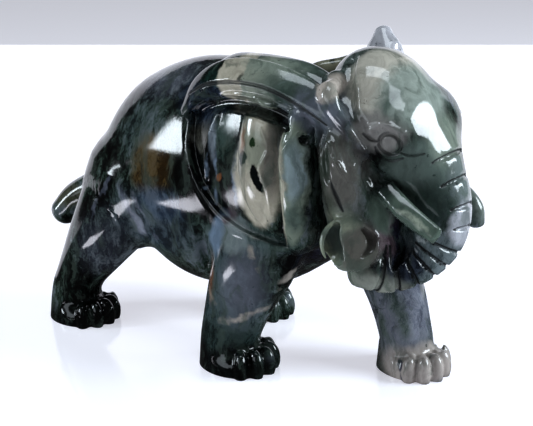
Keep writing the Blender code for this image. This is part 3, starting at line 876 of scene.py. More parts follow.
@dataclass(frozen=True)
class Ear:
    """An ear laid back over the shoulder, with a thick rim, a hollow and broad folds."""

    side: Side
    rim: Stations
    drop: float = 0
    drop_from: float = 66
    drop_over: float = 18
    outline: Sequence[Pair] = (
        (36, 83),
        (28, 87.2),
        (20, 89.2),
        (7, 89.6),
        (-4, 88.2),
        (-11.5, 82),
        (-14, 75),
        (-13, 66),
        (-11, 60.5),
        (-6.4, 52.4),
        (-1, 47.2),
        (6, 43),
        (14, 40),
        (24, 38.5),
        (29.5, 41),
        (31.2, 50),
        (31.6, 66),
    )
    bowl: Sequence[Pair] = (
        (-10.5, 72.5),
        (0, 77.5),
        (10, 79.8),
        (22, 78),
        (26.5, 74),
        (28, 60),
        (28, 44),
        (24, 41.5),
        (15, 43),
        (5, 46.6),
        (-4.4, 54),
        (-9.4, 63),
    )
    heart: Triple = (10, 0, 58)
    radii: Triple = (38, 27.5, 37)
    bowl_radii: Triple = (36, 24.3, 40)
    root: float = 8
    root_outline: Sequence[Pair] = ((-30, 30), (60, 30), (60, 110), (-30, 110))
    deep: float = 36
    room: tuple[Pair, Pair] = ((-20, 32), (52, 98))
    fold_domes: Pair = (3, 2)
    shadow_domes: Pair = (1.5, 1.5)
    slot_domes: Pair = (2, 2)
    folds: tuple[Stations, ...] = (
        (
            (14.8, -20.4, 77.4, 5.4, 4),
            (15.8, -21.8, 69, 6.6, 4.6),
            (16.2, -22.4, 60, 6.8, 4.8),
            (18.4, -22, 52, 5.6, 4.4),
            (22.6, -21, 45.5, 2.8, 3.4),
        ),
        (
            (26, -18.8, 76.4, 2.8, 4),
            (25.6, -20.8, 68, 3.5, 4.8),
            (26.4, -21.4, 60, 3.5, 4.9),
            (27, -21.2, 51, 3.3, 4.6),
            (26.6, -20.2, 43, 3, 3.6),
        ),
    )
    shadow: Stations = (
        (-9, -21.6, 70.4, 1.6, 1.0),
        (-6, -21.8, 73.8, 2.6, 1.7),
        (2, -22, 77.2, 3.4, 2.1),
        (13, -22, 77.6, 3.6, 2.1),
        (22, -21.4, 75.6, 3.2, 1.8),
        (28.5, -20.4, 71, 2, 1.2),
    )
    shadow_end: float = 27
    flute: Stations = ((0.5, 75, 0.7, 0.8), (-2.4, 65.2, 1.1, 1.2), (-3.4, 55.5, 0.7, 0.8))
    slot: Stations = (
        (30, -20, 73, 0.8, 4),
        (31, -20.5, 65, 1.2, 6),
        (31.6, -20.5, 54, 1.4, 6),
        (31.2, -20, 44, 1.1, 5),
    )

    def carve(self, block: Block) -> None:
        """Adds the ear to the stone and hollows it.

        Args:
            block: the stone.
        """
        way = self.side.value
        near, far = sorted((-self.deep * way, 0))
        low, high = [(x, y, z) for (x, z), y in zip(self.room, (near, far))]
        flap = Block(low, high, block.cell)
        flap.add(Prism([(x, self.dropped(z)) for x, z in self.outline], -self.deep * way, 0))
        flap.keep(Blob(self.heart, self.radii), BODY_FILLET)
        flap.cut(Prism(self.root_outline, -self.root * way, self.root * way), ROOT_FILLET)
        rim = Limb(mirrored(self.rim, self.side), domes=self.fold_domes, section=Section.LENS)
        flap.add(rim, RIM_FILLET)
        block.take(flap, EDGE_FILLET, Work.ADD)
        bowl = Block(low, high, block.cell)
        bowl.add(Prism(self.bowl, -self.deep * way, -self.root * way))
        bowl.cut(Blob(self.heart, self.bowl_radii), RIM_FILLET)
        block.take(bowl, RIM_FILLET, Work.CUT)
        block.add(block.strip(self.flute, self.side), FOLD_FILLET)
        for fold in self.folds:
            leaf = Limb(mirrored(fold, self.side), AHEAD, self.fold_domes, Section.FULL)
            block.add(leaf, FOLD_FILLET)
        shadow = [(x, y, z - self.drop * (x < self.shadow_end), *size) for x, y, z, *size in self.shadow]
        block.cut(Limb(mirrored(shadow, self.side), domes=self.shadow_domes), RIM_FILLET)
        slot = Limb(mirrored(self.slot, self.side), AHEAD, self.slot_domes, Section.BOX)
        block.cut(slot, GROOVE_FILLET)

    def dropped(self, z: float) -> float:
        """A height of the outline, lowered where the ear's top is."""
        return z - self.drop * min(1, max(0, (z - self.drop_from) / self.drop_over))


RIGHT_EAR = Ear(
    Side.RIGHT,
    (
        (46, -13, 66, 1.4, 2),
        (41, -15.6, 71.5, 2.8, 3.4),
        (34, -16.5, 77, 4, 5),
        (26, -16.5, 81, 5, 5.4),
        (14, -17, 84, 6, 5.4),
        (2, -17.5, 83.6, 6, 5.2),
        (-6, -19, 79.4, 4.8, 4.6),
        (-11, -21, 73, 2.4, 2.4),
    ),
)
LEFT_EAR = Ear(
    Side.LEFT,
    (
        (46, -13, 66, 1.4, 2),
        (41, -15.6, 71.5, 2.8, 3.4),
        (34, -16.5, 75, 4, 4.4),
        (26, -16.5, 75.4, 5, 5),
        (14, -17, 75.6, 5.4, 5),
        (2, -17.5, 75.6, 5.4, 5),
        (-6, -19, 74, 4.4, 4.4),
        (-11, -21, 70, 2.4, 2.4),
    ),
    drop=8,
)
LEFT_PEAK = Limb(
    ((31, 13, 78, 10.5, 5), (28.4, 16, 87, 7.2, 4.2), (26.4, 18.5, 93.4, 2.6, 2.4)),
    across=AHEAD,
    domes=(3, 2),
)


@dataclass(frozen=True)
class Face:
    """The tusks with their sockets, the temples, the brows, and the ridges of the cheeks."""

    temple: Stations = (
        (31, 85.5, 2.6, 3),
        (34.3, 82, 2.4, 2.6),
        (37, 78.8, 1.7, 1.8),
        (41, 75, 1.3, 1.3),
        (44, 70, 0.8, 0.8),
    )
    temple_valley: Stations = (
        (33.5, 91, 1, 0.8),
        (36.2, 86, 1.5, 1.2),
        (38.6, 81.5, 1.4, 1.2),
        (42, 77.6, 1, 1),
        (44.6, 74, 0.6, 0.5),
    )
    brow: Stations = (
        (44.8, 75, 0.6, 0.3),
        (46.8, 76.6, 0.9, 0.4),
        (50, 77.2, 1, 0.4),
        (53.4, 76, 0.7, 0.3),
    )
    hollow: Stations = ((34.6, 71.4, 0.6, 0.9), (35.4, 67, 1.3, 1.4), (36.8, 62.2, 0.5, 0.7))
    cheek_ridges: tuple[Stations, ...] = (
        ((35.8, 73.4, 0.7, 0.7), (38.2, 70.6, 1.1, 1), (40, 66.3, 1.1, 1), (41.9, 63, 0.7, 0.6)),
        ((42.2, 66, 0.7, 0.6), (43.2, 61, 1.2, 1.1), (44, 56.6, 0.8, 0.8)),
    )
    socket: Stations = ((44.4, -15, 66.2, 1.5, 1.5), (46, -14.6, 63, 2.8, 2.4), (48.6, -13, 60, 2.8, 2.4))
    tusk_right: Stations = ((48, -11.6, 59, 3.1, 3.3), (56, -13.8, 55, 3, 3.2), (65, -14.4, 51, 2.3, 2.5))
    tusk_left: Stations = (
        (47, 12, 57, 2.8, 3),
        (54.6, 13.6, 54.6, 2.6, 2.8),
        (59.4, 14, 50.6, 2.5, 2.7),
        (60.8, 13.8, 46.4, 2.1, 2.3),
    )
    temple_domes: Pair = (2.4, 0.8)
    socket_domes: Pair = (1.4, 1)
    tusk_right_domes: Pair = (1, 0)
    tusk_left_domes: Pair = (1, 1.4)

    def carve(self, block: Block) -> None:
        """Cuts the face and adds the tusks.

        Args:
            block: the stone.
        """
        for side in Side:
            block.add(block.strip(self.temple, side, domes=self.temple_domes), RIDGE_FILLET)
            block.cut(block.strip(self.temple_valley, side), BODY_FILLET)
            block.add(block.strip(self.brow, side), BROW_FILLET)
            for ridge in self.cheek_ridges:
                block.add(block.strip(ridge, side), RIDGE_FILLET)
            block.cut(block.strip(self.hollow, side, across=AHEAD), EDGE_FILLET)
            block.cut(Limb(mirrored(self.socket, side), domes=self.socket_domes), EDGE_FILLET)
        tusk = Limb(self.tusk_right, domes=self.tusk_right_domes, section=Section.GEM)
        block.add(tusk, FOLD_FILLET)
        block.add(Limb(self.tusk_left, domes=self.tusk_left_domes), FOLD_FILLET)


@dataclass(frozen=True)
class Line:
    """A fine line on the skin of one side or both, through rows of x, z, half width and depth."""

    rows: Stations
    cut: Cut = Cut.GROOVE
    sides: tuple[Side, ...] = (Side.RIGHT, Side.LEFT)

    def traces(self, block: Block) -> list[np.ndarray]:
        """Lays the line on the skin.

        Args:
            block: the stone.

        Returns:
            For each of its sides, rows of x, y, z, half width and signed depth.
        """
        made = []
        for side in self.sides:
            trace = [
                (x, block.skin(x, z, side), z, width, depth * self.cut.value)
                for x, z, width, depth in smooth_rows(self.rows)
            ]
            made.append(np.array(trace))
        return made


@dataclass(frozen=True)
class Ring:
    """A round groove on the skin of both sides, about (x, z)."""

    x: float
    z: float
    radius: float
    half_width: float
    depth: float
    points: int = 49

    def traces(self, block: Block) -> list[np.ndarray]:
        """Lays the ring on the skin.

        Args:
            block: the stone.

        Returns:
            For each side, rows of x, y, z, half width and signed depth.
        """
        made = []
        for side in Side:
            middle = Vector((self.x, block.skin(self.x, self.z, side), self.z))
            axis = block.facing(self.x, self.z, side)
            right = axis.cross(UP).normalized()
            up = right.cross(axis)
            rows = []
            for turn in np.linspace(0, 2 * np.pi, self.points):
                spot = middle + (right * math.cos(turn) + up * math.sin(turn)) * self.radius
                y = block.skin(spot.x, spot.z, side)
                rows.append((spot.x, y, spot.z, self.half_width, -self.depth))
            made.append(np.array(rows))
        return made


class Sheet:
    """A node tree in the making, with short ways to add and join its nodes."""

    def __init__(self, tree: bpy.types.NodeTree) -> None:
        """Takes over a tree and empties it."""
        self.tree = tree
        tree.nodes.clear()

    def node(self, kind: str, inputs: dict | None = None, **settings: object) -> bpy.types.Node:
        """Adds a node.

        Args:
            kind: the node's type.
            inputs: values or sockets for its inputs, by name or number.
            settings: values of its properties.

        Returns:
            The node.
        """
        made = self.tree.nodes.new(kind)
        for name, value in settings.items():
            setattr(made, name, value)
        for name, value in (inputs or {}).items():
            self.feed(made.inputs[name], value)
        return made

    def feed(self, socket: Socket, value: object) -> None:
        """Joins a socket to another one, or sets its value.

        Args:
            socket: an input.
            value: what it gets, an output or a plain value.
        """
        if isinstance(value, Socket):
            self.tree.links.new(value, socket)
        else:
            socket.default_value = value

    def math(self, operation: str, *values: object) -> Socket:
        """The result of a Math node on some values."""
        return self.node("ShaderNodeMath", dict(enumerate(values)), operation=operation).outputs[0]

    def vector(self, operation: str, *values: object) -> Socket:
        """The result of a Vector Math node on some values."""
        made = self.node("ShaderNodeVectorMath", dict(enumerate(values)), operation=operation)
        return made.outputs["Value" if operation in ("LENGTH", "DISTANCE") else "Vector"]

    def scaled(self, vector: Socket, by: Socket) -> Socket:
        """A vector or colour times a number."""
        return self.node("ShaderNodeVectorMath", {0: vector, "Scale": by}, operation="SCALE").outputs[0]

    def ramp(
        self, value: Socket, low: object, high: object, to_low: float = 0.0, to_high: float = 1.0
    ) -> Socket:
        """A value carried smoothly from one range to another."""
        inputs = {"Value": value, "From Min": low, "From Max": high, "To Min": to_low, "To Max": to_high}
        return self.node("ShaderNodeMapRange", inputs, interpolation_type="SMOOTHSTEP").outputs[0]

    def noise(
        self, place: Socket, scale: float, detail: float, rough: float, warp: float = 0, out: str = "Fac"
    ) -> Socket:
        """A noise at some place, with its scale in turns to a millimetre."""
        inputs = {"Vector": place, "Scale": scale, "Detail": detail, "Roughness": rough, "Distortion": warp}
        return self.node("ShaderNodeTexNoise", inputs).outputs[out]

    def mix(self, share: Socket, below: object, above: object) -> Socket:
        """Mixes two colours.

        Args:
            share: how much of the upper colour there is.
            below, above: the two colours.

        Returns:
            The mixed colour.
        """
        made = self.node("ShaderNodeMix", data_type="RGBA")
        for name, value in (("Factor", share), (6, below), (7, above)):
            self.feed(made.inputs[name], value)
        return made.outputs[2]


@dataclass(frozen=True)
class Engraver:
    """Fine lines drawn on the finished surface, each a groove or a ridge of smooth section.

    The step is between points of a line, the mesh is made finer where it lies nearer to a line than dense,
    and the shade ramp is how the painted shade, which darkens a groove and dulls it, runs across the
    groove.
    """

    marks: tuple[Line | Ring, ...]
    step: float = 0.2
    dense: float = 1.2
    groove_shade_ramp: Numbers = (0.5, 1.05, 1.0, 0.0)

    def traces(self, block: Block) -> list[np.ndarray]:
        """All the lines on the skin of the block."""
        return [trace for mark in self.marks for trace in mark.traces(block)]

    def tree(self) -> bpy.types.NodeTree:
        """Builds the node tree that moves the surface along its normal near the lines.

        Returns:
            The tree.
        """
        tree = bpy.data.node_groups.new("engraver", "GeometryNodeTree")
        face = tree.interface
        face.new_socket("Stone", in_out="INPUT", socket_type="NodeSocketGeometry")
        face.new_socket("Lines", in_out="INPUT", socket_type="NodeSocketObject")
        face.new_socket("Step", in_out="INPUT", socket_type="NodeSocketFloat")
        face.new_socket("Finish", in_out="INPUT", socket_type="NodeSocketMaterial")
        face.new_socket("Stone", in_out="OUTPUT", socket_type="NodeSocketGeometry")
        sheet = Sheet(tree)
        given = sheet.node("NodeGroupInput").outputs
        info = sheet.node("GeometryNodeObjectInfo", {"Object": given["Lines"]})
        curve = sheet.node("GeometryNodeMeshToCurve", {"Mesh": info.outputs["Geometry"]})
        fine = sheet.node(
            "GeometryNodeResampleCurve", {"Curve": curve.outputs[0], "Length": given["Step"]}, mode="LENGTH"
        )
        points = sheet.node("GeometryNodeCurveToPoints", {"Curve": fine.outputs[0]}, mode="EVALUATED")
        snap = sheet.node("GeometryNodeProximity", {"Geometry": given["Stone"]}, target_element="FACES")
        laid = sheet.node(
            "GeometryNodeSetPosition", {"Geometry": points.outputs[0], "Position": snap.outputs["Position"]}
        ).outputs[0]
        here = sheet.node("GeometryNodeInputPosition").outputs[0]
        nearest = sheet.node("GeometryNodeSampleNearest", {"Geometry": laid}, domain="POINT").outputs[0]
        found = {}
        for name, kind, value in (
            ("place", "FLOAT_VECTOR", here),
            ("half_width", "FLOAT", self.attribute(sheet, "half_width")),
            ("depth", "FLOAT", self.attribute(sheet, "depth")),
        ):
            inputs = {"Geometry": laid, "Index": nearest}
            node = sheet.node("GeometryNodeSampleIndex", inputs, data_type=kind)
            sheet.feed(node.inputs["Value"], value)
            found[name] = node.outputs[0]
        distance = sheet.vector("DISTANCE", here, found["place"])
        share = sheet.math("DIVIDE", distance, found["half_width"])
        rise = sheet.math("MULTIPLY", found["depth"], sheet.ramp(share, 0.0, 1.0, 1.0, 0.0))
        normal = sheet.node("GeometryNodeInputNormal").outputs[0]
        offset = sheet.scaled(normal, rise)
        moved = sheet.node("GeometryNodeSetPosition", {"Geometry": given["Stone"], "Offset": offset})
        # painted shade: a mask that darkens each groove towards its bottom and dulls it, stored on the mesh
        # for the finish
        sunk = sheet.math("LESS_THAN", found["depth"], 0.0)
        soil = sheet.math("MULTIPLY", sheet.ramp(share, *self.groove_shade_ramp), sunk)
        marked = sheet.node(
            "GeometryNodeStoreNamedAttribute",
            {"Geometry": moved.outputs[0], "Name": "soil", "Value": soil},
            data_type="FLOAT",
            domain="POINT",
        )
        real = sheet.node("GeometryNodeRealizeInstances", {"Geometry": marked.outputs[0]})
        dressed = sheet.node(
            "GeometryNodeSetMaterial", {"Geometry": real.outputs[0], "Material": given["Finish"]}
        )
        sheet.node("NodeGroupOutput", {"Stone": dressed.outputs[0]})
        return tree

    @staticmethod
    def attribute(sheet: Sheet, name: str) -> Socket:
        """The value of a named attribute in a tree."""
        return sheet.node("GeometryNodeInputNamedAttribute", {"Name": name}, data_type="FLOAT").outputs[0]

    def thicken(self, mesh: bpy.types.Mesh, points: np.ndarray) -> None:
        """Cuts the faces near the lines in four, so that they can carry the relief.

        Args:
            mesh: the mesh of the stone.
            points: the points of the lines.
        """
        near = KDTree(len(points))
        for i, point in enumerate(points):
            near.insert(point, i)
        near.balance()
        form = bmesh.new()
        form.from_mesh(mesh)
        close = {v.index for v in form.verts if near.find(v.co)[2] < self.dense}
        edges = [e for e in form.edges if e.verts[0].index in close and e.verts[1].index in close]
        bmesh.ops.subdivide_edges(form, edges=edges, cuts=1, use_grid_fill=True)
        form.to_mesh(mesh)
        form.free()

    def engrave(
        self, stone: bpy.types.Object, traces: Sequence[np.ndarray], finish: bpy.types.Material
    ) -> None:
        """Draws lines on the stone.

        Args:
            stone: the object whose mesh is changed.
            traces: the lines, as rows of x, y, z, half width and signed depth.
            finish: the material that it gets.
        """
        rows = np.vstack(traces)
        ends = np.cumsum([len(trace) for trace in traces])
        edges = [(i, i + 1) for i in range(len(rows) - 1) if i + 1 not in ends]
        self.thicken(stone.data, rows[:, :3])
        mesh = bpy.data.meshes.new("guide lines")
        mesh.from_pydata(rows[:, :3], edges, [])
        for name, column in (("half_width", 3), ("depth", 4)):
            mesh.attributes.new(name, "FLOAT", "POINT").data.foreach_set("value", rows[:, column])
        guide = bpy.data.objects.new("guide lines", mesh)
        bpy.context.scene.collection.objects.link(guide)
        tree = self.tree()
        modifier = stone.modifiers.new("engraver", "NODES")
        modifier.node_group = tree
        values = {"Lines": guide, "Step": self.step, "Finish": finish}
        for item in tree.interface.items_tree:
            if item.in_out == "INPUT" and item.name in values:
                modifier[item.identifier] = values[item.name]
        bake(stone)
        bpy.data.objects.remove(guide)


def bake(obj: bpy.types.Object) -> None:
    """Replaces an object's mesh by what its modifiers make of it.

    Args:
        obj: the object, which loses its modifiers.
    """
    graph = bpy.context.evaluated_depsgraph_get()
    shape = bpy.data.meshes.new_from_object(obj.evaluated_get(graph))
    obj.modifiers.clear()
    obj.data = shape


@dataclass(frozen=True)
class Patch:
    """A cloud of one colour in the stone, or of painted light or shade on it, as an ellipsoid with a soft,
    wandering edge.
    """

    name: str
    centre: Triple
    size: Triple
    colour: Numbers
    turn: Triple = (0, 0, 0)
    edge: float = 0.3
    strength: float = 1.0


def vein(
    name: str,
    start: Triple,
    end: Triple,
    radius: float,
    colour: Numbers,
    edge: float = 0.35,
    strength: float = 0.9,
) -> Patch:
    """A long thin patch between two points.

    Args:
        name: what it is.
        start, end: the points that it runs between.
        radius: its half width.
        colour: its colour.
        edge: how soft its edge is, as a share of its radius.
        strength: how much of its colour it gives.

    Returns:
        The patch.
    """
    way = Vector(end) - Vector(start)
    middle = (Vector(start) + Vector(end)) / 2
    turn = tuple(math.degrees(angle) for angle in way.to_track_quat("X", "Z").to_euler())
    size = (way.length / 2 + radius, radius, radius)
    return Patch(name, tuple(middle), size, colour, turn, edge, strength)


# The colours of the stone, and of the painted glints on it
BLACK_GREEN = srgb(7, 11, 12)
DARK = srgb(26, 38, 34)
GROUND_GREEN = srgb(56, 70, 62)
GROUND_GREY = srgb(100, 108, 114)
STAIN_GREEN = srgb(74, 86, 78)
INDIGO = srgb(44, 46, 66)
SLATE = srgb(66, 78, 82)
LAVENDER_GREY = srgb(110, 114, 124)
LAVENDER = srgb(146, 150, 162)
WHITE = srgb(184, 184, 190)
CREAM = srgb(186, 180, 163)
PINK = srgb(190, 180, 170)
PALE_GREEN = srgb(138, 148, 136)
GREY_GREEN = srgb(92, 106, 98)
MOSS = srgb(58, 72, 64)
TAUPE = srgb(112, 108, 100)
OCHRE = srgb(86, 70, 42)
RUST = srgb(136, 84, 48)
MAUVE = srgb(100, 88, 94)
ARCH_GREY = srgb(164, 172, 170)
LEAF_GREEN = srgb(72, 88, 74)
PAINTED_GLINT_BLUE = srgb(130, 146, 164)

# The stone's marks, the lowest first, with painted shade, shadow, highlights and reflections among them;
# the mottle darkens the first kind and not the second
HINDQUARTERS = (
    Patch("grey of the upper flank", (-30, -20, 66), (9, 12, 9), SLATE, edge=0.6, strength=0.4),
    # painted sheen: a lavender reflection along the top of the back
    Patch("painted sheen over the back", (-27, -10, 79), (15, 16, 5), srgb(130, 134, 144), edge=0.7, strength=0.7),
    Patch("ochre on the flank", (-23, -24, 55.5), (8, 8, 9.5), OCHRE, strength=0.9),
    Patch(
        "slate of the lower flank", (-24, -22, 38), (15, 14, 9), srgb(78, 88, 96), edge=0.5, strength=0.8
    ),
    Patch("blue of the mid flank", (-19, -24, 46), (9, 8, 5), srgb(78, 92, 108), edge=0.4, strength=0.8),
    vein("first flank vein", (-34, -24, 46), (-29, -22, 31), 1.5, LAVENDER, edge=0.7, strength=0.7),
    vein("second flank vein", (-30, -24, 46), (-23, -21, 32), 1.1, LAVENDER_GREY),
    vein("thigh vein", (-38, -24, 52), (-45, -26, 38), 1.0, LAVENDER_GREY),
    Patch("grey of the hind leg", (-43, -24, 27), (9, 9, 10), LAVENDER_GREY, edge=0.6, strength=0.55),
    # painted reflection: a lavender sheen along the rear edge of the hind leg
    Patch("painted lavender sheen on the thigh", (-60, -20, 30), (5, 9, 9), LAVENDER_GREY, edge=0.6, strength=0.7),
    Patch("shade of the shin", (-50, -20, 13), (8, 9, 7), BLACK_GREEN, edge=0.5, strength=0.7),
    Patch("dark hind foot", (-56, -20, 2), (15, 13, 6), BLACK_GREEN),
    Patch("top of the tail", (-74, -6, 34), (10, 9, 4), srgb(74, 74, 58), strength=0.9),
)
DARK_EAR = (
    # painted shade: the ear's hollow darkened to near black over its dark stone
    Patch("painted shade in the ear's hollow", (0.5, -22, 60), (13, 9, 17), srgb(6, 9, 10), edge=0.2),
    # painted reflection: dim grey and green quads of a reflection across the upper hollow
    Patch("painted grey reflection in the hollow", (-6.4, -22, 68.5), (3.8, 8, 6), srgb(92, 92, 86), edge=0.15, strength=0.9),
    Patch("painted green reflection in the hollow", (3.4, -22, 68.5), (4.4, 8, 6), srgb(52, 70, 64), edge=0.2, strength=0.9),
    # painted reflection: the pale wedge of that reflection
    Patch(
        "painted pale reflection in the hollow", (-0.8, -24, 68), (1.5, 6, 6), srgb(122, 132, 140),
        edge=0.3, strength=0.9,
    ),
    Patch("slate end of the rim", (-8, -20, 79), (12, 11, 9), srgb(48, 58, 70), edge=0.2),
    Patch("green end of the rim", (-3, -18, 86), (8, 9, 4), srgb(26, 52, 46), edge=0.25),
    Patch("lower rim", (12, -24, 42), (16, 9, 3.6), srgb(72, 88, 84), edge=0.4, strength=0.9),
)
PALE_EAR = (
    # painted reflections: three bluish glints down the flutes of the hollow
    vein("first painted glint", (-2.4, -24, 61.5), (-3.2, -23, 53), 0.7, PAINTED_GLINT_BLUE, edge=0.7),
    vein("second painted glint", (0.6, -24, 63), (0.2, -24, 51), 0.8, PAINTED_GLINT_BLUE, edge=0.7),
    vein("third painted glint", (8.4, -24, 64), (8.6, -24, 53), 0.9, srgb(136, 150, 166), edge=0.7),
    Patch("pale green of the rim", (13.5, -19, 84), (6.5, 12, 8), srgb(148, 154, 140), edge=0.2),
    Patch("cream of the rim", (5.4, -19, 84.5), (4.4, 12, 8.5), CREAM, edge=0.12),
    Patch("green-grey of the rim", (21, -19, 86), (7, 11, 6), GREY_GREEN, edge=0.5, strength=0.8),
    Patch("pale strip of the rim", (20, -19, 89), (11, 6, 2.4), PALE_GREEN, edge=0.4, strength=0.9),
    Patch(
        "lavender front of the rim", (31, -18, 79), (9, 9, 6), srgb(104, 110, 118), edge=0.4, strength=0.9
    ),
    vein("vein across the rim", (9.5, -22, 90), (9, -26, 76), 0.8, DARK, strength=0.8),
    vein("vein in the rim", (19, -23, 83), (31, -20, 76), 0.8, LAVENDER, strength=0.6),
    Patch("green fleck in the rim", (22, -20, 82), (3, 4, 2), MOSS, strength=0.8),
    Patch("shadow under the rim", (8, -21, 76.6), (16, 7, 1.6), BLACK_GREEN, edge=0.25, strength=0.9),
    Patch("broad fold", (16, -26, 61), (8, 7, 17), CREAM, edge=0.12),
    Patch("green in the broad fold", (17, -26, 68), (4, 6, 6), srgb(132, 138, 122), edge=0.4, strength=0.8),
    # painted shade: the broad fold's right side darkened in brown where it curves away
    Patch("painted shade on the broad fold's edge", (21.6, -26, 66), (2.4, 6, 10), TAUPE, edge=0.5, strength=0.9),
    Patch("upper fleck", (16.6, -28, 69.5), (1.0, 5, 1.5), srgb(36, 58, 32), (0, 25, 0), edge=0.2),
    Patch("long dark inclusion", (18.2, -28, 60.5), (1.3, 5, 3.9), BLACK_GREEN, (0, -30, 0), edge=0.15),
    Patch("dark blob by the fold", (12.4, -26, 65), (1.3, 5, 1.9), BLACK_GREEN, edge=0.2),
    Patch(
        "rust beside the fold", (12.2, -26, 69.5), (1.1, 5, 3.4), RUST, (0, 8, 0), edge=0.4, strength=0.7
    ),
    Patch("small rust fleck", (2, -25, 57), (1.6, 5, 1.1), RUST, (0, -35, 0), edge=0.3),
    Patch("crystals", (5.5, -26, 46.8), (2.2, 5, 2.2), MAUVE, edge=0.5, strength=0.7),
    Patch("narrow fold", (27.6, -26, 60), (4.2, 7, 18), srgb(126, 136, 122), edge=0.12),
    # painted reflection: a pale-blue facet highlight on the narrow fold
    Patch(
        "painted reflection on the narrow fold's facet", (28.4, -26, 64), (2.4, 6, 8),
        srgb(142, 158, 162), edge=0.3, strength=0.8,
    ),
    Patch("green in the narrow fold", (28.6, -26, 51), (2.4, 6, 4), GREY_GREEN, edge=0.5, strength=0.9),
    # painted highlight: the lit left edge of the narrow fold, in cream
    Patch("painted highlight on the narrow fold's edge", (24.9, -26, 58), (1.1, 6, 14), CREAM, edge=0.4, strength=0.8),
    # painted shade: the narrow slot between the narrow fold and the cheek darkened to black
    Patch("slot", (31.9, -20, 57), (1.5, 9, 17), BLACK_GREEN, edge=0.5),
)
DARK_HEAD = (
    Patch("neck", (34, -8, 88), (9, 12, 7), srgb(96, 106, 102), edge=0.5, strength=0.9),
    vein("first stripe of the neck", (24, -14, 87), (27, 8, 92), 0.9, BLACK_GREEN),
    vein("second stripe of the neck", (28, -13, 87), (31, 8, 92), 0.9, BLACK_GREEN),
    vein("dark line before the temple", (33.5, -13, 90.5), (37.5, -17, 83), 1.5, DARK),
    vein("indigo band", (33.5, -19, 81.5), (42.5, -17, 72), 2.8, INDIGO, edge=0.25),
    vein("indigo band's end", (42.5, -17, 70), (46, -15, 64), 2.0, srgb(22, 24, 34), edge=0.3),
    Patch("bend of the trunk", (60, -5, 43), (10, 9, 7), srgb(98, 108, 110), edge=0.4, strength=0.9),
    Patch("dark of the curl", (54, -12, 40), (5, 8, 5), srgb(52, 58, 68), edge=0.4),
    Patch("lips", (48.5, -13, 47), (3.8, 6, 6), MAUVE, edge=0.4),
    Patch("shade of the socket", (47, -15.6, 62.6), (3.4, 4, 4.4), BLACK_GREEN, edge=0.3, strength=0.9),
    # painted shadow: dark indigo down the gap between the trunk and the jaw
    vein("painted shadow in the jaw gap", (51.5, -11, 52), (53, -11, 40), 1.8, srgb(34, 34, 58)),
)
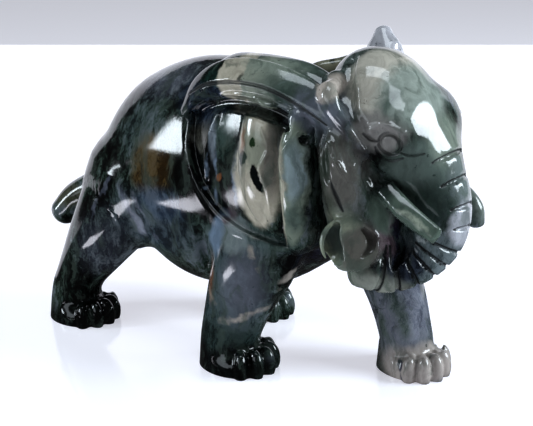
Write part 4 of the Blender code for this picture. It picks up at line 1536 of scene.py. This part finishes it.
PALE_HEAD = (
    Patch("cheek", (38, -16, 62), (6, 10, 14), srgb(112, 110, 104), edge=0.4, strength=0.85),
    Patch("side of the trunk", (56, -8, 65), (8.5, 9, 9), srgb(92, 104, 98), edge=0.3, strength=0.95),
    Patch("dark of the trunk", (58, -7, 56), (6, 8, 6.5), srgb(46, 58, 54), edge=0.5, strength=0.95),
    vein("cheek flow", (38, -18, 70.4), (42, -16, 60), 1.7, srgb(176, 172, 168), edge=0.6),
    vein(
        "lower cheek flow", (35, -18, 60), (42, -18, 50), 1.4, srgb(146, 146, 140), edge=0.7, strength=0.7
    ),
    Patch(
        "dark drop on the cheek", (34.9, -18, 64.6), (2.0, 6, 7), srgb(44, 56, 46),
        (0, 10, 0), edge=0.5, strength=0.9,
    ),
    Patch("olive of the cheek", (36.4, -18, 55), (2.6, 6, 5), srgb(70, 76, 66), edge=0.6, strength=0.8),
    vein("arch of the cheek", (32.6, -18, 67), (33.8, -18, 72), 0.9, ARCH_GREY, edge=0.6),
    vein("top of the arch", (33.8, -18, 72.4), (38, -18, 71.6), 0.9, ARCH_GREY, edge=0.6),
    Patch("forehead", (44, -8, 87), (9.5, 13, 10), srgb(188, 184, 172), edge=0.15),
    Patch("green of the forehead", (52, -6, 84), (8, 12, 9), srgb(150, 160, 152), edge=0.3, strength=0.95),
    vein("green band of the forehead", (49.5, -9, 88), (48.6, -13, 78), 1.6, GREY_GREEN, edge=0.7),
    Patch("temple", (33.6, -17, 85.6), (4, 6, 4), PINK, edge=0.25),
    Patch("brow", (47.4, -14, 74.8), (6, 7, 5), srgb(140, 138, 134), edge=0.3, strength=0.95),
    Patch("nose", (61, 0, 74), (4.4, 9, 7), PALE_GREEN, edge=0.5, strength=0.8),
    Patch("edge of the trunk", (64.4, 2, 64), (3, 7, 12), srgb(122, 132, 130), edge=0.5, strength=0.8),
    Patch("pale strip of the trunk", (66.6, 0, 51.5), (4.4, 9, 7), srgb(172, 174, 180), edge=0.25),
    vein("dark edge of the forehead", (50, 8, 89), (64, 4, 74), 2.2, srgb(62, 74, 68), edge=0.6),
    Patch("pale curl", (46, -17, 34.5), (9, 9, 4.6), srgb(140, 144, 134), edge=0.4),
    Patch("trunk's tip", (40, -21, 45), (9, 8, 9), srgb(118, 128, 116), edge=0.2),
    Patch("taupe of the tip", (45, -20, 46), (4.4, 8, 6), srgb(104, 100, 94), edge=0.5, strength=0.9),
    Patch("yellow rim of the tip", (35.6, -20, 41), (3, 7, 6), srgb(162, 166, 142), edge=0.6, strength=0.7),
    Patch(
        "yellow crest of the tip", (39, -22, 51.4), (5, 7, 2), srgb(156, 160, 138), edge=0.6, strength=0.7
    ),
    # painted shade: the inside of the nostril darkened
    Patch(
        "painted shade in the nostril", (37.6, -17, 46), (3.2, 5.2, 4.8), srgb(70, 80, 76), edge=0.4, strength=0.9
    ),
    Patch("right tusk", (57, -15, 54.5), (12, 4.6, 7), srgb(90, 104, 94), edge=0.15),
    # painted highlight: a pale line along the top ridge of the tusk
    vein("painted highlight on the tusk's ridge", (50, -16.6, 58.6), (65, -17, 51.6), 0.9, srgb(168, 176, 160), edge=0.7),
    Patch("dark root of the tusk", (49, -14, 59.5), (3.4, 5, 3.4), DARK, edge=0.5, strength=0.8),
    Patch("left tusk", (57, 16, 54), (11, 6, 9), srgb(112, 120, 114), edge=0.2),
    Patch("nape", (20, 7, 86), (13, 7, 4), srgb(132, 130, 112), edge=0.3),
    vein("first twist of the nape", (11, 2, 86), (14, 8, 82), 1.2, srgb(34, 44, 34)),
    vein("second twist of the nape", (17, 4, 88), (20, 11, 82), 0.9, srgb(40, 48, 38)),
    vein("third twist of the nape", (23, 7, 91), (26, 14, 84), 0.8, srgb(52, 58, 44)),
    Patch("peak of the left ear", (27, 17, 90), (8, 8, 7), WHITE, edge=0.3),
    vein("first band of the peak", (20, 12, 89), (36, 12, 86), 1.0, srgb(70, 72, 58), edge=0.5),
    vein("second band of the peak", (20, 12, 85.5), (36, 12, 83), 1.2, MOSS, edge=0.5),
)
DARK_FORE = (
    # painted shade: the chest under the head, between the forelegs, darkened to indigo
    Patch("chest", (24, -12, 38), (10, 9, 8), srgb(22, 22, 34), edge=0.4),
    Patch("slate of the foreleg", (6, -25, 26), (12, 9, 15), srgb(66, 80, 82), edge=0.4),
    Patch("shade of the foreleg", (4, -20, 11), (12, 12, 6), srgb(50, 64, 62), edge=0.5),
    Patch("dark forefoot", (4, -19, 3), (14, 12, 6), BLACK_GREEN, edge=0.3),
    Patch("left foreleg", (42, 8, 18), (10, 10, 15), srgb(122, 126, 136), edge=0.3),
    vein("pale strip of the left foreleg", (47, 5, 28), (50, 5, 10), 2.2, LAVENDER),
    vein(
        "green on the left foreleg", (42, 3, 24), (48.5, 3, 11), 2.2, LEAF_GREEN,
        edge=0.8, strength=0.9,
    ),
    vein(
        "second green on the foreleg", (37, 3, 18), (42, 3, 8), 1.6, LEAF_GREEN,
        edge=0.8, strength=0.8,
    ),
)
PALE_FORE = (
    Patch(
        "lavender facet", (11.5, -25, 29), (6.5, 7, 11), srgb(108, 112, 122),
        (0, 12, 0), edge=0.6, strength=0.75,
    ),
    # painted reflection: a light-blue facet on the upper foreleg
    Patch(
        "blue facet", (1.4, -25, 41), (3, 6, 7), srgb(116, 134, 152), (0, 15, 0), edge=0.25, strength=0.9
    ),
    # painted reflection: a pale grey facet on the top of the foreleg
    Patch(
        "painted reflection on top of the foreleg", (8, -26, 42), (4.4, 6, 4.4), srgb(128, 138, 138), edge=0.3, strength=0.8
    ),
    vein("vein to the chest", (13.5, -25, 39.5), (19, -20, 29.5), 1.3, srgb(178, 170, 158), edge=0.5),
    vein("vein's turn", (19, -20, 29.5), (24, -16, 33), 1.2, srgb(172, 166, 156), edge=0.5),
    vein("knee vein, rear", (-1, -24, 23.5), (6, -26, 17.5), 1.0, srgb(150, 142, 130), edge=0.5),
    vein("knee vein, front", (6, -26, 17.5), (15, -21, 20.5), 1.3, srgb(176, 168, 158), edge=0.5),
    Patch(
        "rust on the foreleg", (-0.8, -24.5, 28), (1.8, 4, 5.4), RUST, (0, -6, 0), edge=0.8, strength=0.6
    ),
    Patch("left forefoot", (48, 8, 4), (11, 12, 5), srgb(178, 170, 164), edge=0.3),
    vein("dark vein over the toes", (44, 3, 8), (47, 2, 1), 0.9, INDIGO),
)
MOTTLED = HINDQUARTERS + DARK_EAR + DARK_HEAD + DARK_FORE
CLEAN = PALE_EAR + PALE_HEAD + PALE_FORE


@dataclass(frozen=True)
class JadeFinish:
    """Polished jade: dark green clouded with slate, cream and lavender, with fine veins, and with painted
    shade, highlights and reflections in its colour.

    A noise is given as its scale, detail, roughness and warp, and a ramp as the range that
    it takes and the range that it gives. The borders are where the slices meet along x.
    """

    mottled: tuple[Patch, ...] = MOTTLED
    clean: tuple[Patch, ...] = CLEAN
    borders: Numbers = (-300, -32, -8, 10, 24, 36, 50, 300)
    half_width: float = 60
    tall: float = 100
    wander: float = 7.0
    sway: Numbers = (0.11, 6, 0.6)
    fall_turn: Triple = (0, math.radians(-18), 0)
    fall_scale: Triple = (1, 1, 0.32)
    clouds: Numbers = (0.06, 3, 0.5)
    mottle: Numbers = (0.3, 9, 0.78, 0.3)
    thickening: Numbers = (0.35, 0.65, -0.06, 0.08)
    green: Pair = (0.38, 0.54)
    grey: Pair = (0.52, 0.66)
    power: Numbers = (0.38, 0.58, 1.5, 0.92)
    crack_scale: float = 0.045
    crack_width: Numbers = (0.003, 0.014, 1.0, 0.0)
    cracked: Numbers = (0.52, 0.6, 0.0, 0.6)
    fine: Numbers = (0.25, 7, 0.7, 0.8)
    gain: Numbers = (0.35, 0.65, 1.04, 0.76)
    drift: Numbers = (0.14, 6, 0.6, 1.5)
    stained: Numbers = (0.5, 0.66, 0.0, 0.55)
    specks: Numbers = (0.34, 5, 0.62)
    specked: Numbers = (0.66, 0.7, 0.0, 0.7)
    # how dark the painted shade in the grooves is, and how dull the grooves are
    groove_shade_darkness: float = 0.92
    groove_dullness: float = 0.9
    polish: Numbers = (0.3, 0.7, 0.056, 0.128)
    dull: Patch = Patch("hollow", (2, -20, 58), (15, 9, 19), BLACK_GREEN)
    dullness: Numbers = (0.9, 1.1, 0.14, 0.0)
    grain: Numbers = (1.2, 4, 0.6)
    grain_strength: float = 0.05
    grain_height: float = 0.0002
    refraction: float = 1.6

    def patch_group(self) -> bpy.types.NodeTree:
        """Builds the node group that lays one patch over the colour below it.

        Returns:
            The group.
        """
        tree = bpy.data.node_groups.new("patch", "ShaderNodeTree")
        face = tree.interface
        for name in ("Place", "Centre", "Turn", "Size"):
            face.new_socket(name, in_out="INPUT", socket_type="NodeSocketVector")
        for name in ("Inner", "Outer", "Strength"):
            face.new_socket(name, in_out="INPUT", socket_type="NodeSocketFloat")
        face.new_socket("Below", in_out="INPUT", socket_type="NodeSocketColor")
        face.new_socket("Colour", in_out="INPUT", socket_type="NodeSocketColor")
        face.new_socket("Colour", in_out="OUTPUT", socket_type="NodeSocketColor")
        sheet = Sheet(tree)
        given = sheet.node("NodeGroupInput").outputs
        inputs = {
            "Vector": given["Place"],
            "Location": given["Centre"],
            "Rotation": given["Turn"],
            "Scale": given["Size"],
        }
        local = sheet.node("ShaderNodeMapping", inputs, vector_type="TEXTURE").outputs[0]
        away = sheet.vector("LENGTH", local)
        mask = sheet.ramp(away, given["Inner"], given["Outer"], 1.0, 0.0)
        share = sheet.math("MULTIPLY", mask, given["Strength"])
        sheet.node("NodeGroupOutput", {"Colour": sheet.mix(share, given["Below"], given["Colour"])})
        return tree

    def reaches(self, patch: Patch, low: Vector, high: Vector) -> bool:
        """Tells whether a patch, wherever its edge wanders, can reach into a box.

        Args:
            patch: the patch.
            low, high: the corners of the box.

        Returns:
            Whether it can.
        """
        turn = Euler([math.radians(angle) for angle in patch.turn]).to_matrix()
        centre = Vector(patch.centre)
        for axis in range(3):
            spread = math.sqrt(sum((turn[axis][i] * patch.size[i]) ** 2 for i in range(3)))
            spread = spread * (1 + patch.edge) + self.wander / 2
            if centre[axis] + spread < low[axis] or centre[axis] - spread > high[axis]:
                return False
        return True

    def dress(self, stone: bpy.types.Object, zero: Vector) -> None:
        """Gives the stone its finish, in slices that each carry only the patches that reach them.

        The slices meet unseen, because the same cloudy stone runs through all of them.

        Args:
            stone: the carving, in metres.
            zero: where the figure's own zero lies in the frame, in metres.
        """
        stone.data.materials.clear()
        count = len(stone.data.polygons)
        centres = np.empty(count * 3, np.float32)
        stone.data.polygons.foreach_get("center", centres)
        centres = (centres.reshape(-1, 3) - np.array(zero)) / MM
        slices = np.searchsorted(self.borders, centres[:, 0]) - 1
        numbers = slices * 2 + (centres[:, 1] > 0)
        for number in range(2 * len(self.borders) - 2):
            low_y, high_y = ((-self.half_width, 0), (0, self.half_width))[number % 2]
            low = Vector((self.borders[number // 2] - 1, low_y - 1, -1))
            high = Vector((self.borders[number // 2 + 1] + 1, high_y + 1, self.tall + 1))
            layers = [
                [patch for patch in layer if self.reaches(patch, low, high)]
                for layer in (self.mottled, self.clean)
            ]
            stone.data.materials.append(self.material(zero, layers, number))
        stone.data.polygons.foreach_set("material_index", numbers.astype(np.int32))

    def lay(self, sheet: Sheet, patches: Sequence[Patch], place: Socket, colour: Socket) -> Socket:
        """Lays patches over a colour.

        Args:
            sheet: the tree of the material.
            patches: the patches, the lowest first.
            place: the coordinates that they are placed by.
            colour: the colour below them.

        Returns:
            The colour with the patches on it.
        """
        group = bpy.data.node_groups.get("patch") or self.patch_group()
        for patch in patches:
            node = sheet.node("ShaderNodeGroup", node_tree=group, label=patch.name)
            values = {
                "Place": place,
                "Centre": patch.centre,
                "Turn": tuple(math.radians(angle) for angle in patch.turn),
                "Size": patch.size,
                "Inner": 1 - patch.edge,
                "Outer": 1 + patch.edge,
                "Strength": patch.strength,
                "Below": colour,
                "Colour": patch.colour,
            }
            for name, value in values.items():
                sheet.feed(node.inputs[name], value)
            colour = node.outputs[0]
        return colour

    def places(self, sheet: Sheet, zero: Vector) -> tuple[Socket, Socket, Socket]:
        """Adds the coordinates that the patterns lie on, in the figure's own millimetres.

        Args:
            sheet: the tree of the material.
            zero: where the figure's own zero lies in the frame, in metres.

        Returns:
            The plain ones, the ones that wander, and the ones drawn out down the flanks.
        """
        given = sheet.node("ShaderNodeTexCoord").outputs["Object"]
        inputs = {"Vector": given, "Location": tuple(-zero / MM), "Scale": (1 / MM,) * 3}
        place = sheet.node("ShaderNodeMapping", inputs).outputs[0]
        sway = sheet.noise(place, *self.sway, out="Color")
        sway = sheet.vector("SUBTRACT", sway, (0.5, 0.5, 0.5))
        sway = sheet.vector("MULTIPLY", sway, (self.wander,) * 3)
        moved = sheet.vector("ADD", place, sway)
        inputs = {"Vector": moved, "Rotation": self.fall_turn, "Scale": self.fall_scale}
        return place, moved, sheet.node("ShaderNodeMapping", inputs).outputs[0]

    def material(self, zero: Vector, layers: Sequence[Sequence[Patch]], number: int) -> bpy.types.Material:
        """Makes the finish of one slice.

        Args:
            zero: where the figure's own zero lies in the frame, in metres.
            layers: the mottled and the clean patches that reach the slice.
            number: the slice's number.

        Returns:
            The material.
        """
        material = bpy.data.materials.new(f"polished jade {number + 1}")
        material.use_nodes = True
        sheet = Sheet(material.node_tree)
        place, moved, fall = self.places(sheet, zero)
        clouds = sheet.noise(place, *self.clouds)
        mottle = sheet.noise(fall, *self.mottle)
        density = sheet.math("ADD", mottle, sheet.ramp(clouds, *self.thickening))
        colour = sheet.mix(sheet.ramp(density, *self.green), BLACK_GREEN, GROUND_GREEN)
        colour = sheet.mix(sheet.ramp(density, *self.grey), colour, GROUND_GREY)
        colour = self.lay(sheet, layers[0], moved, colour)
        power = sheet.ramp(density, *self.power)
        colour = sheet.node("ShaderNodeGamma", {"Color": colour, "Gamma": power}).outputs[0]
        inputs = {"Vector": moved, "Scale": self.crack_scale}
        cells = sheet.node("ShaderNodeTexVoronoi", inputs, feature="DISTANCE_TO_EDGE")
        cracks = sheet.ramp(cells.outputs["Distance"], *self.crack_width)
        cracks = sheet.math("MULTIPLY", cracks, sheet.ramp(clouds, *self.cracked))
        colour = sheet.mix(cracks, colour, BLACK_GREEN)
        colour = self.lay(sheet, layers[1], moved, colour)
        fine = sheet.noise(fall, *self.fine)
        drift = sheet.noise(fall, *self.drift)
        colour = sheet.mix(sheet.ramp(drift, *self.stained), colour, STAIN_GREEN)
        colour = sheet.scaled(colour, sheet.ramp(fine, *self.gain))
        specks = sheet.noise(moved, *self.specks)
        colour = sheet.mix(sheet.ramp(specks, *self.specked), colour, DARK)
        # painted shade: the grooves darkened towards black by the mask that the engraver stored
        soil = sheet.node("ShaderNodeAttribute", attribute_name="soil").outputs["Fac"]
        colour = sheet.mix(sheet.math("MULTIPLY", soil, self.groove_shade_darkness), colour, BLACK_GREEN)
        inputs = {"Vector": place, "Location": self.dull.centre, "Scale": self.dull.size}
        apart = sheet.node("ShaderNodeMapping", inputs, vector_type="TEXTURE").outputs[0]
        dulled = sheet.ramp(sheet.vector("LENGTH", apart), *self.dullness)
        rough = sheet.math("MAXIMUM", sheet.ramp(fine, *self.polish), dulled)
        rough = sheet.math("MAXIMUM", rough, sheet.math("MULTIPLY", soil, self.groove_dullness))
        grain = sheet.noise(place, *self.grain)
        inputs = {"Height": grain, "Strength": self.grain_strength, "Distance": self.grain_height}
        bump = sheet.node("ShaderNodeBump", inputs).outputs[0]
        inputs = {"Base Color": colour, "Roughness": rough, "Normal": bump, "IOR": self.refraction}
        shader = sheet.node("ShaderNodeBsdfPrincipled", inputs)
        sheet.node("ShaderNodeOutputMaterial", {"Surface": shader.outputs[0]})
        return material


# The fine lines: lids and ring of the eyes, crease and folds of the ear, flow of the cheeks
RIGHT_ONLY = (Side.RIGHT,)
EYE_MARKS = (
    Ring(50.3, 72.2, radius=2.85, half_width=0.75, depth=0.9),
    Line(((52.8, 70.2, 0.4, 0.4), (54.8, 69.5, 0.6, 0.7), (57.4, 69.9, 0.3, 0.3))),
    Line(((46.4, 71, 0.4, 0.3), (47.2, 69, 0.6, 0.6), (49.6, 67.5, 0.6, 0.6), (53, 68.6, 0.4, 0.3))),
    Line(((43.4, 74.2, 0.4, 0.3), (45, 73, 0.6, 0.6), (47, 72.6, 0.4, 0.3))),
    Line(((43.8, 76.2, 0.5, 0.2), (46.6, 77.6, 0.9, 0.5), (50.5, 77.4, 0.5, 0.2)), Cut.RIDGE),
)
EAR_MARKS = (
    Line(
        (
            (-9, 78.6, 0.4, 0.3),
            (-2.7, 82.0, 0.8, 0.6),
            (7, 83.8, 0.8, 0.7),
            (15.3, 83.8, 0.8, 0.7),
            (22, 82, 0.8, 0.6),
            (29.7, 78.6, 0.7, 0.5),
            (35, 76, 0.4, 0.2),
        ),
        sides=RIGHT_ONLY,
    ),
    Line(
        (
            (18, 73.5, 0.5, 0.2),
            (20.4, 68.5, 0.9, 0.5),
            (18.8, 63, 0.9, 0.5),
            (20.8, 58, 0.9, 0.5),
            (21.4, 51, 0.5, 0.2),
        ),
        Cut.RIDGE,
        RIGHT_ONLY,
    ),
    Line(
        (
            (28, 73.5, 0.5, 0.2),
            (25.6, 69.2, 0.8, 0.6),
            (25.2, 65.3, 0.8, 0.6),
            (26.6, 59.1, 0.8, 0.6),
            (27.6, 54, 0.5, 0.2),
        ),
        Cut.RIDGE,
        RIGHT_ONLY,
    ),
)
CHEEK_MARKS = (
    Line(
        ((33.2, 69, 0.5, 0.3), (34, 71.6, 0.8, 0.7), (36.6, 72, 0.8, 0.7), (38.2, 69.6, 0.5, 0.3)),
        Cut.RIDGE,
    ),
    Line(((38.2, 69.4, 0.6, 0.4), (40.4, 66.6, 0.9, 0.8), (41.8, 62.6, 0.6, 0.4)), Cut.RIDGE),
    Line(((37.6, 61.6, 0.5, 0.3), (38.8, 58, 0.8, 0.6), (40, 54, 0.5, 0.3))),
)
MARKS = EYE_MARKS + EAR_MARKS + CHEEK_MARKS


@dataclass(frozen=True)
class Elephant:
    """The whole carving: its forms, its fine lines, its mesh and its finish.

    Low and high are the corners of the block that it is carved from.
    """

    body: Body = Body()
    skull: Skull = Skull()
    trunk: Trunk = Trunk()
    ears: tuple[Ear, ...] = (RIGHT_EAR, LEFT_EAR)
    face: Face = Face()
    engraver: Engraver = Engraver(MARKS)
    finish: JadeFinish = JadeFinish()
    low: Triple = (-92, -36, -4)
    high: Triple = (74, 36, 100)
    cell: float = 0.45
    triangles: int = 190000

    def block(self) -> tuple[Block, list[np.ndarray]]:
        """Carves all the forms.

        Returns:
            The stone, whose feet run on below the ground, and the bottoms of the trunk's grooves.
        """
        block = Block(self.low, self.high, self.cell)
        self.body.carve(block)
        self.skull.carve(block, self.trunk)
        for ear in self.ears:
            ear.carve(block)
        block.add(LEFT_PEAK, BODY_FILLET)
        grooves = self.trunk.score(block)
        self.face.carve(block)
        self.trunk.open_tip(block)
        return block, grooves

    def thin(self, stone: bpy.types.Object) -> None:
        """Brings the mesh down to its number of triangles.

        Args:
            stone: the carving.
        """
        count = sum(len(face.vertices) - 2 for face in stone.data.polygons)
        modifier = stone.modifiers.new("thin", "DECIMATE")
        modifier.ratio = min(1, self.triangles / count)
        modifier.use_collapse_triangulate = True
        bake(stone)

    @staticmethod
    def drop_crumbs(form: bmesh.types.BMesh) -> None:
        """Removes crumbs of stone that hang on nothing: every shell but the largest.

        Args:
            form: the mesh of the carving.
        """
        seen = set()
        shells = []
        for first in form.verts:
            if first in seen:
                continue
            seen.add(first)
            shell, edge = [first], [first]
            while edge:
                vertex = edge.pop()
                fresh = [link.other_vert(vertex) for link in vertex.link_edges]
                fresh = [other for other in fresh if other not in seen]
                seen.update(fresh)
                shell += fresh
                edge += fresh
            shells.append(shell)
        for shell in sorted(shells, key=len)[:-1]:
            bmesh.ops.delete(form, geom=shell, context="VERTS")

    def stand(self, mesh: bpy.types.Mesh) -> Vector:
        """Cuts the soles flat, and moves the mesh to its place in the frame.

        Args:
            mesh: the mesh, in millimetres.

        Returns:
            Where the figure's own zero lies in the frame, in metres.
        """
        form = bmesh.new()
        form.from_mesh(mesh)
        geometry = form.verts[:] + form.edges[:] + form.faces[:]
        cut = bmesh.ops.bisect_plane(form, geom=geometry, plane_co=(0, 0, 0), plane_no=UP, clear_inner=True)
        rims = [item for item in cut["geom_cut"] if isinstance(item, bmesh.types.BMEdge)]
        soles = bmesh.ops.holes_fill(form, edges=rims, sides=0)["faces"]
        bmesh.ops.triangulate(form, faces=soles)
        self.drop_crumbs(form)
        bmesh.ops.scale(form, verts=form.verts, vec=(MM,) * 3)
        places = np.array([vertex.co for vertex in form.verts])
        low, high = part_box("elephant")
        middle = (Vector(low) + Vector(high)) / 2
        own = Vector((places.min(0) + places.max(0)) / 2)
        zero = Vector((middle.x - own.x, middle.y - own.y, 0))
        bmesh.ops.translate(form, verts=form.verts, vec=zero)
        form.to_mesh(mesh)
        form.free()
        return zero

    def build(self) -> tuple[bpy.types.Object, Vector]:
        """Makes the carving.

        Returns:
            Its object, and where its own zero lies in the frame.
        """
        block, grooves = self.block()
        LOG.info("forms joined on a grid of %s cells", block.field.size)
        stone = bpy.data.objects.new("jade_elephant", block.mesh("rough stone"))
        bpy.context.scene.collection.objects.link(stone)
        blank = bpy.data.materials.new("blank")
        self.engraver.engrave(stone, self.engraver.traces(block) + grooves, blank)
        LOG.info("engraved: %s faces", len(stone.data.polygons))
        self.thin(stone)
        zero = self.stand(stone.data)
        self.finish.dress(stone, zero)
        stone.data.shade_smooth()
        stone.data.name = "jade elephant"
        LOG.info("stands at %s with %s faces", tuple(zero), len(stone.data.polygons))
        return stone, zero


@dataclass(frozen=True)
class Softbox:
    """A rectangular light that looks at the figure, placed by its bearing and its rise.

    The bearing and the rise are in degrees, the lengths in metres and the power in watts.
    """

    name: str
    bearing: float
    rise: float
    away: float
    width: float
    height: float
    power: float
    colour: Triple = (0.84, 0.93, 1.0)

    def build(self, target: Vector) -> None:
        """Sets up the light.

        Args:
            target: the point that it looks at.
        """
        light = bpy.data.lights.new(self.name, "AREA")
        light.shape = "RECTANGLE"
        light.size, light.size_y = self.width, self.height
        light.energy = self.power
        light.color = self.colour
        lamp = bpy.data.objects.new(self.name, light)
        flat, up = math.radians(self.bearing), math.radians(self.rise)
        way = Vector((math.cos(flat) * math.cos(up), math.sin(flat) * math.cos(up), math.sin(up)))
        lamp.location = target + way * self.away
        lamp.rotation_euler = (-way).to_track_quat("-Z", "Y").to_euler()
        bpy.context.scene.collection.objects.link(lamp)


@dataclass(frozen=True)
class Studio:
    """The pale floor, the soft lights, the cards in the polish and the camera.

    The target's height, the camera's distance and the corners of the slip are in
    millimetres, and the lengths of the floor and the card in metres. The focal length is
    in pixels of a picture as wide as the photograph.
    """

    softboxes: tuple[Softbox, ...] = (
        Softbox("left softbox", -136, 16, away=0.7, width=0.12, height=0.26, power=1.4),
        Softbox("dim left panel", -106, 17, away=0.7, width=0.4, height=0.26, power=0.5),
        Softbox("right softbox", 29, 24, away=0.7, width=0.4, height=0.32, power=4.8),
        Softbox("top softbox", -70, 80, away=0.8, width=0.5, height=0.3, power=2.0),
    )
    target_height: float = 40.5
    turn: float = 38
    rise: float = 18
    away: float = 360
    focal: float = 1240
    picture_width: int = 533
    sensor: float = 36
    floor_size: float = 6.0
    floor_colour: Numbers = (0.86, 0.86, 0.92, 1)
    floor_roughness: float = 0.12
    floor_shine: Numbers = (0.92, 0.92, 1, 1)
    floor_glow: float = 0.4
    room_colour: Numbers = (0.95, 0.96, 1, 1)
    room_light: float = 0.05
    card_colour: Numbers = (0.9, 0.91, 1, 1)
    card_width: float = 1.6
    card_profile: tuple[Pair, ...] = ((0.06, 0.001), (0.5, 0.001), (0.6, 0.05), (0.65, 0.4))
    card_glow: float = 1.1
    slip_corners: tuple[Pair, ...] = ((-92, -86), (-62, -84), (-50, -118), (-92, -128))
    slip_glow: float = 7.0

    def target(self, zero: Vector) -> Vector:
        """The point that the lights and the camera look at."""
        return zero + Vector((0, 0, self.target_height * MM))

    def card(self, name: str, rows: Sequence[Sequence[Vector]], glow: float) -> None:
        """Lays a pale card that shows only as a reflection.

        Args:
            name: its name.
            rows: pairs of points, its left and right edge from one end to the other.
            glow: its brightness.
        """
        material = bpy.data.materials.new(name)
        material.use_nodes = True
        sheet = Sheet(material.node_tree)
        shine = sheet.node("ShaderNodeEmission", {"Color": self.card_colour, "Strength": glow})
        sheet.node("ShaderNodeOutputMaterial", {"Surface": shine.outputs[0]})
        form = bmesh.new()
        points = [[form.verts.new(point) for point in row] for row in rows]
        for low, high in zip(points, points[1:]):
            form.faces.new((low[0], low[1], high[1], high[0]))
        mesh = bpy.data.meshes.new(name)
        form.to_mesh(mesh)
        form.free()
        mesh.materials.append(material)
        card = bpy.data.objects.new(name, mesh)
        for ray in ("camera", "diffuse", "transmission", "volume_scatter", "shadow"):
            setattr(card, f"visible_{ray}", False)
        bpy.context.scene.collection.objects.link(card)

    def cards(self, zero: Vector) -> None:
        """Stands a pale card behind the figure and lays a bright slip before its flank.

        Args:
            zero: where the figure's own zero lies in the frame, in metres.
        """
        flat = math.radians(self.turn)
        away = Vector((-math.sin(flat), math.cos(flat), 0))
        half = Vector((math.cos(flat), math.sin(flat), 0)) * self.card_width / 2
        middles = [zero + away * far + Vector((0, 0, high)) for far, high in self.card_profile]
        self.card("pale card", [(middle - half, middle + half) for middle in middles], self.card_glow)
        near_left, near_right, far_right, far_left = [
            zero + Vector((x * MM, y * MM, MM)) for x, y in self.slip_corners
        ]
        self.card("bright slip", [(near_left, near_right), (far_left, far_right)], self.slip_glow)

    def floor(self) -> None:
        """Lays the floor, a plain white sheet with a faint gloss."""
        material = bpy.data.materials.new("white floor")
        material.use_nodes = True
        shader = material.node_tree.nodes["Principled BSDF"].inputs
        shader["Base Color"].default_value = self.floor_colour
        shader["Roughness"].default_value = self.floor_roughness
        shader["Emission Color"].default_value = self.floor_shine
        shader["Emission Strength"].default_value = self.floor_glow
        form = bmesh.new()
        bmesh.ops.create_circle(form, cap_ends=True, radius=self.floor_size / 2, segments=64)
        mesh = bpy.data.meshes.new("floor")
        form.to_mesh(mesh)
        form.free()
        floor = bpy.data.objects.new("floor", mesh)
        mesh.materials.append(material)
        floor.visible_glossy = False
        bpy.context.scene.collection.objects.link(floor)

    def world(self) -> None:
        """Sets the even light of the room."""
        world = bpy.data.worlds.new("studio")
        world.use_nodes = True
        shader = world.node_tree.nodes["Background"].inputs
        shader["Color"].default_value = self.room_colour
        shader["Strength"].default_value = self.room_light
        bpy.context.scene.world = world

    def camera(self, zero: Vector) -> None:
        """Sets the camera at the photograph's angle.

        Args:
            zero: where the figure's own zero lies in the frame, in metres.
        """
        flat, up = math.radians(self.turn), math.radians(self.rise)
        back = Vector((math.sin(flat) * math.cos(up), -math.cos(flat) * math.cos(up), math.sin(up)))
        right = Vector((math.cos(flat), math.sin(flat), 0))
        above = back.cross(right)
        place = self.target(zero) + back * self.away * MM
        data = bpy.data.cameras.new("camera")
        data.sensor_width = self.sensor
        data.lens = self.focal * self.sensor / self.picture_width
        camera = bpy.data.objects.new("camera", data)
        axes = Matrix((right, above, back)).transposed().to_4x4()
        camera.matrix_world = Matrix.Translation(place) @ axes
        bpy.context.scene.collection.objects.link(camera)
        bpy.context.scene.camera = camera

    def build(self, zero: Vector) -> None:
        """Sets up the floor, the cards, the lights and the camera round the figure.

        Args:
            zero: where the figure's own zero lies in the frame, in metres.
        """
        self.floor()
        self.cards(zero)
        self.world()
        for softbox in self.softboxes:
            softbox.build(self.target(zero))
        self.camera(zero)
        bpy.context.scene.view_settings.view_transform = "Standard"
        bpy.context.scene.view_settings.look = "Medium High Contrast"


def main() -> None:
    """Builds the figure and the studio."""
    logging.basicConfig(level=logging.INFO, format="%(name)s: %(message)s")
    stone, zero = Elephant().build()
    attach(stone, "root")
    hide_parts("elephant")
    LOG.info("built %s", stone.name)
    Studio().build(zero)


if __name__ == "__main__":
    main()
